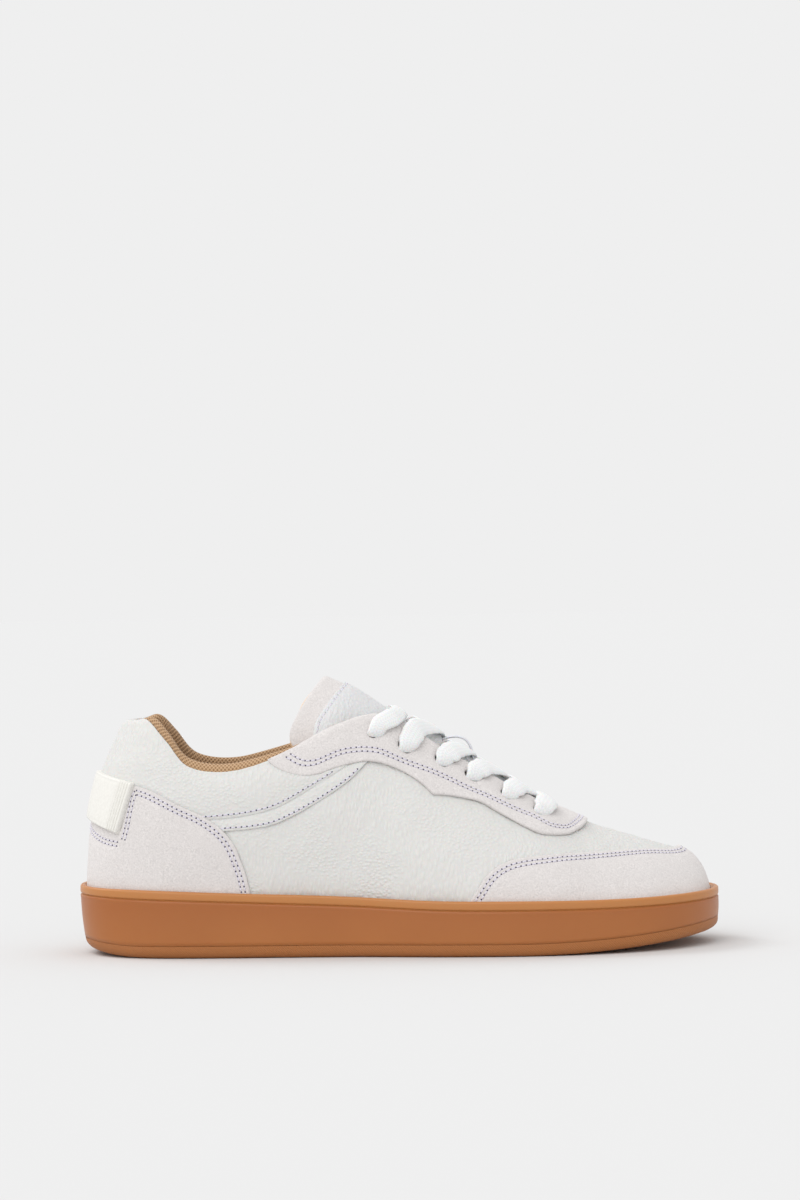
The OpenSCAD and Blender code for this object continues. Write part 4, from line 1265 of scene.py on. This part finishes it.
# Thread along the stripe's lower edge and along the collar's margin
for sign in (-1, 1):
    for th, line, up, rise, sunk in ((np.arange(54.5, 84.5, 0.5), STRIPE_LOW, 1.5, stripe_rise, 0.0),
                                     (np.arange(51.5, 79.5, 0.5), CREASE, 2.0, collar_rise, 0.02)):
        degs = th if sign < 0 else 360 - th
        h = above(degs, line, up)
        sew(skin(degs, h, rise(degs, h, height_up(degs, h), up) - sunk), wall_normal(degs, h))


# ---------- heel tab ----------
TAB_DEPTH, TAB_HEIGHT = 2.3, 22.0
TAB_GROOVES, GROOVE_CUT, GROOVE_HALF = (1.7, 3.1, 4.5, 5.9), 0.6, 0.28


def heel_tab():
    """A moulded strap round the heel with slanted ends and fine ribs beside them."""
    v = np.linspace(0, 1, 40)
    front = np.stack([lerp(-120.1, -112.8, v), lerp(52.8, 74.9, v)], -1)
    end_deg, _ = spot(front, 25.0)
    share = np.sin(np.linspace(-np.pi / 2, np.pi / 2, 301) * 0.98) / np.sin(np.pi / 2 * 0.98)
    deg = share[:, None] * end_deg[None, :]
    bow = np.abs(share[:, None]) ** 1.3
    z = lerp(59.0 - 6.2 * bow, 79.0 - 4.1 * bow, v[None, :])
    h = np.stack([crossing(deg[:, j], z[:, j]) for j in range(len(v))], 1)
    run = length_along(skin(deg, h, 2.0)[:, 20])
    from_end = np.minimum(run, run[-1] - run)[:, None] + 0 * v[None, :]
    from_rim = np.minimum(v, 1 - v)[None, :] * TAB_HEIGHT
    near = np.minimum(from_end, from_rim)
    d = TAB_DEPTH * np.sqrt(1 - (1 - np.clip(near / 0.9, 0, 1)) ** 2)
    for groove in TAB_GROOVES:
        d -= GROOVE_CUT * np.exp(-(((from_end - groove) / GROOVE_HALF) ** 2)) * step(from_rim, 0.2, 0.7)
    framed = np.minimum(from_end - 7.0, from_rim - 1.8)
    d -= 0.22 * np.exp(-((framed / 0.35) ** 2)) * (from_end > 6.8)
    uv = np.stack([deg, h * 60], -1)
    return shell("heel_tab_moulding", skin(deg, h, SUEDE + 0.35 + d), skin(deg, h, 0.1), cream_rubber, uv)


finish_piece(heel_tab(), "cream_rubber", "heel_tab")


# ---------- linings ----------
def collar_lining():
    """The padded knit: over the rolled edge and down the inside."""
    degs = np.arange(-85, 85.5, 0.75)
    first = lip_turn(degs)[:, None] - 10
    phi = lerp(first, 180.0, np.linspace(0, 1, 22)[None, :])
    deg = np.repeat(degs[:, None], 22, 1)
    over = edge(deg, phi, -0.55 + 0.75 * step(phi - first, 0, 26))
    back_over = edge(deg, phi, -1.3 + 0 * phi)
    roll_foot = (height_up(degs, 1.0) - roll_height(degs))[:, None]
    v = roll_foot * (1 - np.linspace(0, 1, 50)[None, 1:])
    deg = np.repeat(degs[:, None], 49, 1)
    h = at_height(deg, v)
    floor_lit = np.maximum(INSIDE + 1.1, INSIDE + 0.6 + pad(deg, h)) + LINING
    floor_lit = lerp(floor_lit, edge_thickness(deg), np.exp(-(roll_foot - v) / 3.0))
    low_h = np.minimum(h, 0.999)
    down = skin(deg, low_h, -floor_lit + 0.25 * ripple(wall(deg, h), 22, 61))
    back_down = skin(deg, low_h, -floor_lit + LINING)
    outer, inner = np.concatenate([over, down], 1), np.concatenate([back_over, back_down], 1)
    across = np.array([length_along(column) for column in outer])
    round_it = np.repeat(length_along(outer[:, 12])[:, None], across.shape[1], 1)
    return shell("collar_knit", outer, inner, tan_knit, np.stack([round_it, across], -1))


knit = collar_lining()
finish_piece(knit, "tan_mesh", "collar_lining", "collar_foam")


def facing_edge(deg, h, v, from_low):
    """The lining's outer face, turned out to meet the leather along the throat's edge."""
    full = height_up(deg, 1.0)
    return lerp(-INSIDE - LINING, -LEATHER + 0.1, step(v, full - 2.2, full - 0.9))


def vamp_lining():
    degs = np.arange(84, 276.5, 1.5)
    ends = np.zeros(len(degs)), np.ones(len(degs))
    outer, inner, uv = sheet_between(degs, *ends, 50, facing_edge, -INSIDE - 2.0)
    return shell("vamp_cloth", inner, outer, vamp_cloth, uv, drop=near_eyelets(1.2))


finish_piece(vamp_lining(), "cream_lining", "vamp_lining")


# ---------- tongue ----------
# Stations from the vamp to the tip: x, height, half width, how far the sides drop, and the foam's depth
STATIONS = [
    [75, 51.4, 19, 9, 1], [68, 54.6, 21, 13, 1.5], [60, 58.6, 23, 19, 2], [48, 67, 25, 25, 3],
    [33, 77.6, 26, 27, 4], [18, 88, 26, 28, 4.5], [3, 98, 25, 28.5, 5], [-12, 109, 22.5, 27, 6],
    [-22, 115.4, 21.5, 28, 6], [-32, 120.1, 20, 35.5, 4.5]]
TONGUE_LENGTH, TONGUE_HALF_WIDTH = 130, 26
HINGE = 0.735


def tongue_at(s, v, d):
    """The place at station share s, share v of the half width and d above the tongue's face."""
    s, v, d = np.broadcast_arrays(s, v, d)
    q = spline(STATIONS, s)
    t = spline(STATIONS, np.minimum(s + 0.02, 1)) - spline(STATIONS, np.maximum(s - 0.02, 0))
    t = unit(t[..., :2])
    swing = 3.8 * step(np.abs(v), 0.05, 0.8) - 5.0 * np.maximum((np.abs(v) - 0.8) / 0.2, 0) ** 2
    x = q[..., 0] * SX - swing * step(s, 0.84, 1.0)
    drop = d - q[..., 3] * v * v
    y = centre(x) + v * q[..., 2] * SY
    return np.stack([x + t[..., 1] * drop, y, raised(q[..., 1]) - t[..., 0] * drop], -1)


def foam_depth(s, v):
    return 1.5 + spline(STATIONS, s)[..., 4] * (1 - 0.8 * v * v)


def pillow(name, a, b, upper, lower, width, material, back=0.0):
    """A soft strip of the tongue from station a to b, closed and rounded all round."""
    n, m = 150, 64
    s = a + (b - a) * (1 - np.cos(np.linspace(0, np.pi, n))) / 2
    turn = np.linspace(0, 2 * np.pi, 2000)
    c, k = np.cos(turn), np.sin(turn)
    ring = np.stack([np.sign(c) * np.abs(c) ** 0.45, np.sign(k) * np.abs(k) ** 0.6], -1)
    run = length_along(ring * [1, 0.35])
    across, rise = sampled(ring, run, np.linspace(0, run[-1], m + 1)[:-1]).T
    near_end = np.minimum(np.clip((s - a) / 0.01, 0, 1), np.clip((b - s) / 0.03, 0, 1))
    shrink = np.sqrt(np.maximum(1 - (1 - near_end) ** 2, 0.0))[:, None]
    s, v = np.meshgrid(s, across * width, indexing="ij")
    v = v * lerp(0.86, 1.0, shrink)
    hi, lo = upper(s, v), lower(s, v)
    p = tongue_at(s, v, (hi + lo) / 2 + (hi - lo) / 2 * rise * shrink)
    p[..., 0] -= back * step(s, 0.85, 1) * step(np.abs(v), 0.0, 0.3) * step(np.abs(v), 0.75, 0.5)
    faces = grid_faces(n, m, loop_m=True) + end_caps(n, m)
    uv = np.stack([s * TONGUE_LENGTH, v * TONGUE_HALF_WIDTH], -1)
    return merged(make(name, p.reshape(-1, 3), faces, material, uv.reshape(-1, 2)))


def tongue_spot(points):
    """The stations and shares of width that the side view shows at x, z."""
    s, v = np.meshgrid(np.linspace(0.3, 1, 300), np.linspace(0, 1, 160), indexing="ij")
    p = tongue_at(s, -v, 0)
    found = []
    for x, z in points:
        k = np.argmin((p[..., 0] - x) ** 2 + (p[..., 2] - z) ** 2)
        found.append((s.ravel()[k], v.ravel()[k]))
    return np.array(found)


SEAM_MARGIN, SEAM_SCALE = 2.0, 135
SEAM = [[-23.9, 115.4], [-27.6, 110.8], [-31.4, 105.8], [-34.3, 101.6], [-36, 98], [-36.4, 94.5]]
seam = tongue_spot(SEAM)
seam = seam[np.argsort(seam[:, 1])]


def seam_station(v):
    """Where the leather ends and the suede tip starts."""
    return np.interp(np.abs(v), seam[:, 1], seam[:, 0])


def puffed(s, v):
    return 0.25 * ripple(tongue_at(s, v, 0), 24, 71)


suede_pad = pillow("tongue_suede", 0.0, 1.0, puffed, lambda s, v: -foam_depth(s, v) * 0.62, 1.0, pale_suede)
lining_pad = pillow("tongue_back", 0.02, 0.993, lambda s, v: -foam_depth(s, v) * 0.5,
                    lambda s, v: -foam_depth(s, v) - 1.0, 0.985, tongue_cloth, 1.8)


def tongue_face():
    """The leather on the tongue's face, up to a raised edge with a sewn dip beside it."""
    v = np.linspace(-0.955, 0.955, 90)
    t = np.r_[np.linspace(0, 0.9, 90), 1 - 0.1 * (1 - np.linspace(0, 1, 16)[1:]) ** 1.4]
    v, t = np.meshgrid(v, t, indexing="ij")
    s = 0.012 + (seam_station(v) - 0.012) * t
    to_seam = (seam_station(v) - s) * SEAM_SCALE
    edge_rise = 0.95 * np.sqrt(1 - (1 - np.clip(to_seam / 0.45, 0, 1)) ** 2)
    sunk = 0.2 * np.exp(-((to_seam - SEAM_MARGIN) / 0.7) ** 2)
    creased = 0.09 * ripple(tongue_at(s, v, 0), 15, 72)
    outer = tongue_at(s, v, puffed(s, v) + edge_rise - sunk + creased)
    inner = tongue_at(s, v, puffed(s, v) - 0.3)
    uv = np.stack([v * TONGUE_HALF_WIDTH, s * TONGUE_LENGTH], -1)
    return shell("tongue_leather", outer, inner, tongue_leather, uv)


def tongue_thread():
    """The row beside the seam."""
    v = np.linspace(-0.93, 0.93, 160)
    s = seam_station(v) - SEAM_MARGIN / SEAM_SCALE
    sew(tongue_at(s, v, puffed(s, v) + 0.75), unit(tongue_at(s, v, 2) - tongue_at(s, v, 0)), "tongue", 2.6)
    return stitch_pieces("tongue")


leather_face = tongue_face()
tongue_sewn, tongue_pricked = tongue_thread()
hinge_from, hinge_to = (tuple(tongue_at(HINGE + way * 0.12, 0, 0) * MM) for way in (-1, 1))
for piece, slot, nodes in [
        (suede_pad, "pale_suede", ["tongue_foam", "tongue_top_foam"]),
        (leather_face, "white_leather", ["tongue_face", "tongue_top_face"]),
        (lining_pad, "tongue_cloth", ["tongue_lining", "tongue_top_lining"]),
        (tongue_sewn, "lace_cotton", []), (tongue_pricked, "pale_suede", [])]:
    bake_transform(piece)
    finish_piece(piece, slot, *nodes, body=None)

# ---------- laces ----------
LACE_W, LACE_T = 7.6, 2.2
OVER = GAP + SUEDE + 0.35
TOP_EYELET = len(EYELETS) - 1
EYELET_DEG, EYELET_H = spot(EYELETS)


def tongue_station(x):
    s = np.linspace(0, 1, 2001)
    return float(np.interp(-x, -spline(STATIONS, s)[:, 0] * SX, s))


def tongue_normal(s):
    return unit(tongue_at(s, 0, 1.0) - tongue_at(s, 0, 0.0))


def one(deg, h, d):
    """A single place on the upper."""
    return skin(np.array([deg]), np.array([h]), d)[0]


def one_normal(deg, h):
    return wall_normal(np.array([float(deg)]), np.array([float(h)]))[0]


def lace_side(i, s):
    """An eyelet's deg and h, on the lateral side where s is -1."""
    return (EYELET_DEG[i] if s < 0 else 360 - EYELET_DEG[i]), EYELET_H[i]


def edge_deg(x):
    """The lateral deg at which the top edge is at x."""
    th = np.arange(40.0, 140.0)
    return float(np.interp(x, wall(th, np.ones(100))[:, 0], th))


def over_facing(i, s, lean):
    """From the top edge down to an eyelet; the lace reaches the edge lean further toward the toe."""
    deg, h = EYELET_DEG[i], EYELET_H[i]
    far = edge_deg(EYELETS[i][0] * SX + lean)
    down = float(height_up(deg, 1.0) - height_up(deg, h))
    narrower = 1.4 if i == TOP_EYELET else 0
    keys = []
    for share, at, d, w, t in [(1.0, 0.2, 1.4, 9.8, 2.7), (0.66, down * 0.38, 1.6, 10.2, 3.1),
                               (0.32, down - 3.0, 1.5, 9.4, 3.2)]:
        q = lerp(deg, far, share)
        k = float(at_height(q, height_up(q, 1.0) - at))
        q = q if s < 0 else 360 - q
        n = one_normal(q, k)
        keys.append((wall(np.array([q]), np.array([k]))[0] + n * (OVER + d), n, w - narrower, t))
    return keys


def hole_run(i, s):
    """Down through an eyelet, under the facing and out into the throat."""
    deg, h = lace_side(i, s)
    n = one_normal(deg, h)
    a = unit(one(deg, 0.99, 0) - one(deg, h, 0))
    toward = np.array([1.0, 0, -0.6])
    return [(one(deg, h, OVER + 0.5) - a * 0.3 + toward * 0.6, n * 0.4 - a, 7.4, 3.2),
            (one(deg, h, -1.9) - a * 0.5, -a, 3.6, 2.4),
            (one(deg, h, -4.35) + a * 1.0, n, 4.2, 1.4),
            (one(deg, h, -4.45) + a * 4.0, n, 5.8, 1.4)]


def tail(s):
    """The loose end, from the last eyelet down the inside to its tip."""
    deg, h = lace_side(TOP_EYELET, s)
    n = one_normal(deg, h)
    route = [(91, -4.3, 4), (86, -4.3, 6), (80, -4.3, 6), (74, -4.4, 4), (70, -5.3, 3), (67.5, -5.9, 2.4)]
    inside = [(one(deg, crossing(deg, z), d), n, w, 1.3) for z, d, w in route]
    return hole_run(TOP_EYELET, s)[:2] + inside


def cross_run(i, s, level):
    """Out of the throat, over the tongue and across to the next eyelet on the other side."""
    last = i + 1 == TOP_EYELET
    mid_x = lerp(EYELETS[i][0], EYELETS[i + 1][0], 0.22) * SX
    mid = tongue_at(tongue_station(mid_x), 0, (1.4 if last else 3.3) + level * 1.9)
    a = tongue_at(tongue_station(mid_x + 0.6), s * 0.42, 2.3 + level * 0.8)
    n = tongue_normal(tongue_station(mid_x))
    out = one(lace_side(i, s)[0], 0.99, -4.2)
    keys = [(out, np.array([0, s * 0.5, 1.0]), LACE_W * 0.9, 1.9), (a, n, LACE_W, 2.1),
            (mid, n, LACE_W * (0.95 if last else 1.1), 2.1)]
    return keys + over_facing(i + 1, -s, 8.5 if last else 4.6)


def half_lace(s):
    """One end's run from the first eyelet to its tip."""
    keys = []
    for i in range(TOP_EYELET):
        t = s if i % 2 == 0 else -s
        keys += hole_run(i, t) + cross_run(i, t, 0 if t < 0 else 1)
    return keys + tail(-s)


def lace_keys():
    """The whole lace: a bar across the lowest eyelets, and an end from each side of it."""
    s = tongue_station((EYELETS[0][0] + 3.0) * SX)
    bar = [(tongue_at(s, 0, 5.0), tongue_normal(s), LACE_W * 1.25, 2.5)]
    return half_lace(-1)[::-1] + over_facing(0, -1, 3.6)[::-1] + bar + over_facing(0, 1, 3.6) + half_lace(1)


def rail(keys, spacing=0.8):
    """A smooth run through keys of place, up, width and thickness that does not overshoot short gaps."""
    k = np.array([np.r_[place, unit(up), w, t] for place, up, w, t in keys])
    gap = np.linalg.norm(np.diff(k[:, :3], axis=0), axis=1)
    dt = np.sqrt(gap)[:, None]
    slope = np.diff(k, axis=0) / dt
    between = (slope[1:] * dt[:-1] + slope[:-1] * dt[1:]) / (dt[1:] + dt[:-1])
    m = np.concatenate([slope[:1], between, slope[-1:]])
    rows = []
    for i, g in enumerate(gap):
        t = np.linspace(0, 1, max(int(g / spacing), 2) + 1)[:-1, None]
        rows.append((2 * t**3 - 3 * t**2 + 1) * k[i] + (t**3 - 2 * t**2 + t) * dt[i] * m[i]
                    + (3 * t**2 - 2 * t**3) * k[i + 1] + (t**3 - t**2) * dt[i] * m[i + 1])
    return np.concatenate([*rows, k[-1:]])


def swept(name, keys, material, corners=22, flat=2.6):
    """A soft flat band swept along keys of place, up, width and thickness."""
    line = rail(keys)
    p, up, size = line[:, :3], unit(line[:, 3:6]), line[:, 6:]
    kernel = np.array([1, 2, 3, 2, 1]) / 9
    size = np.stack([np.convolve(np.pad(column, 2, mode="edge"), kernel, "valid") for column in size.T], -1)
    ahead = unit(np.gradient(p, axis=0))
    across = unit(np.cross(ahead, up))
    up = np.cross(across, ahead)
    turn = np.linspace(0, 2 * np.pi, corners + 1)[:-1]
    c, k = np.cos(turn), np.sin(turn)
    x, y = np.sign(c) * np.abs(c) ** (2 / flat), np.sign(k) * np.abs(k)
    run = length_along(p)
    uneven = 1 + 0.03 * np.sin(run * 1.1) + 0.02 * np.sin(run * 2.7 + 1)
    half_width = size[:, :1] / 2 * uneven[:, None]
    half_depth = size[:, 1:] / 2
    ring = p[:, None] + across[:, None] * (x * half_width)[..., None]
    ring += up[:, None] * (y * half_depth)[..., None]
    arc = length_along(np.column_stack([x, y * 0.3])) * LACE_W / 2
    uv = np.stack(np.meshgrid(run, arc, indexing="ij"), -1)
    faces = grid_faces(len(p), corners, loop_m=True) + end_caps(len(p), corners)
    return merged(make(name, ring.reshape(-1, 3), faces, material, uv.reshape(-1, 2)), 0.000002)


finish_piece(swept("laces", lace_keys(), lace_cotton), "lace_cotton", "shoelace")


def keeper():
    """The leather loop that stands over the middle of the lace."""
    a, b = tongue_station(32 * SX), tongue_station(17 * SX)
    rise = 2 * LACE_T + 3.4
    keys = []
    for t in np.linspace(0, 1, 15):
        s = lerp(a, b, t)
        keys.append((tongue_at(s, 0, 0.75 + rise * np.sin(np.pi * t) ** 0.7), tongue_normal(s), 6.4, 1.1))
    return swept("keeper_loop", keys, keeper_leather, 20, 6.0)


finish_piece(keeper(), "white_leather", "lace_keeper")

# Along an aglet: share of its length, and radius
AGLET = [(0.0, 1.0), (0.01, 1.45), (0.08, 1.5), (0.12, 1.38), (0.16, 1.5), (0.5, 1.45), (0.9, 1.4), (0.97, 1.2),
         (1.0, 0.6)]


def aglet_tips():
    """Film-wrapped tips: a crimped tube with a rounded end on each loose end."""
    verts, faces = [], []
    n, m = len(AGLET), 16
    for s in MIRRORED[::-1]:
        deg, _ = lace_side(TOP_EYELET, s)
        a, b = (one(deg, crossing(deg, z), d) for z, d in ((67.5, -6.1), (51.0, -6.4)))
        ahead = unit(b - a)
        across = unit(np.cross(ahead, [1.0, 0, 0]))
        ring = circle(across, np.cross(ahead, across), m)
        first = n * m * len(verts)
        verts.append(np.concatenate([a + (b - a) * share + ring * radius for share, radius in AGLET]))
        faces += grid_faces(n, m, first, loop_m=True) + end_caps(n, m, first)
    return merged(make("aglet_tips", np.concatenate(verts), faces, aglet_film))


finish_piece(aglet_tips(), "aglet_film", "aglets")

sewn, pricked = stitch_pieces("shoe")
finish_piece(sewn, "lace_cotton")
finish_piece(pricked, "pale_suede")

# ---------- what the CAD shows as it is ----------
KEPT = {
    "midsole": plain_material("midsole_foam", shade(236, 232, 222), 0.85, 900.0, 0.06),
    "lasting_board": plain_material("board", shade(206, 196, 176), 0.9, 500.0, 0.05),
    "eyelet_tape": cloth_material("tape", shade(236, 236, 230), 0.6),
    "heel_counter": plain_material("counter_board", shade(208, 208, 202), 0.8, 700.0, 0.04),
    "toe_puff": plain_material("puff_board", shade(208, 208, 202), 0.8, 700.0, 0.04),
}
for name, material in KEPT.items():
    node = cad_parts[name]
    node.data.materials.clear()
    node.data.materials.append(material)

# ---------- floor and light ----------
BACKGROUND = shade(239, 239, 239)
FLOOR_GREY = 0.718
bpy.ops.mesh.primitive_plane_add(size=60, location=(0, 0, cad_bounds[0].z - 0.0001))
floor = bpy.context.object
floor.name = "floor"
floor.data.materials.append(Nodes("floor_paper").done((FLOOR_GREY,) * 3, 1.0, Specular_IOR_Level=0.0))

world = bpy.data.worlds.new("studio")
bpy.context.scene.world = world
world.use_nodes = True
backdrop = world.node_tree.nodes["Background"]
backdrop.inputs[0].default_value = (*BACKGROUND, 1)
backdrop.inputs[1].default_value = 1.0


def soft_sun(name, strength, spread, turn):
    """A sun with soft shadows; spread and turn are in degrees."""
    light = bpy.data.lights.new(name, "SUN")
    light.energy = strength
    light.angle = np.radians(spread)
    lamp = bpy.data.objects.new(name, light)
    lamp.rotation_euler = np.radians(turn)
    bpy.context.scene.collection.objects.link(lamp)


soft_sun("key", 0.95, 50, (48, 0, -28))
soft_sun("rear", 0.6, 25, (42, 0, -117))
bpy.context.scene.view_settings.view_transform = "Standard"
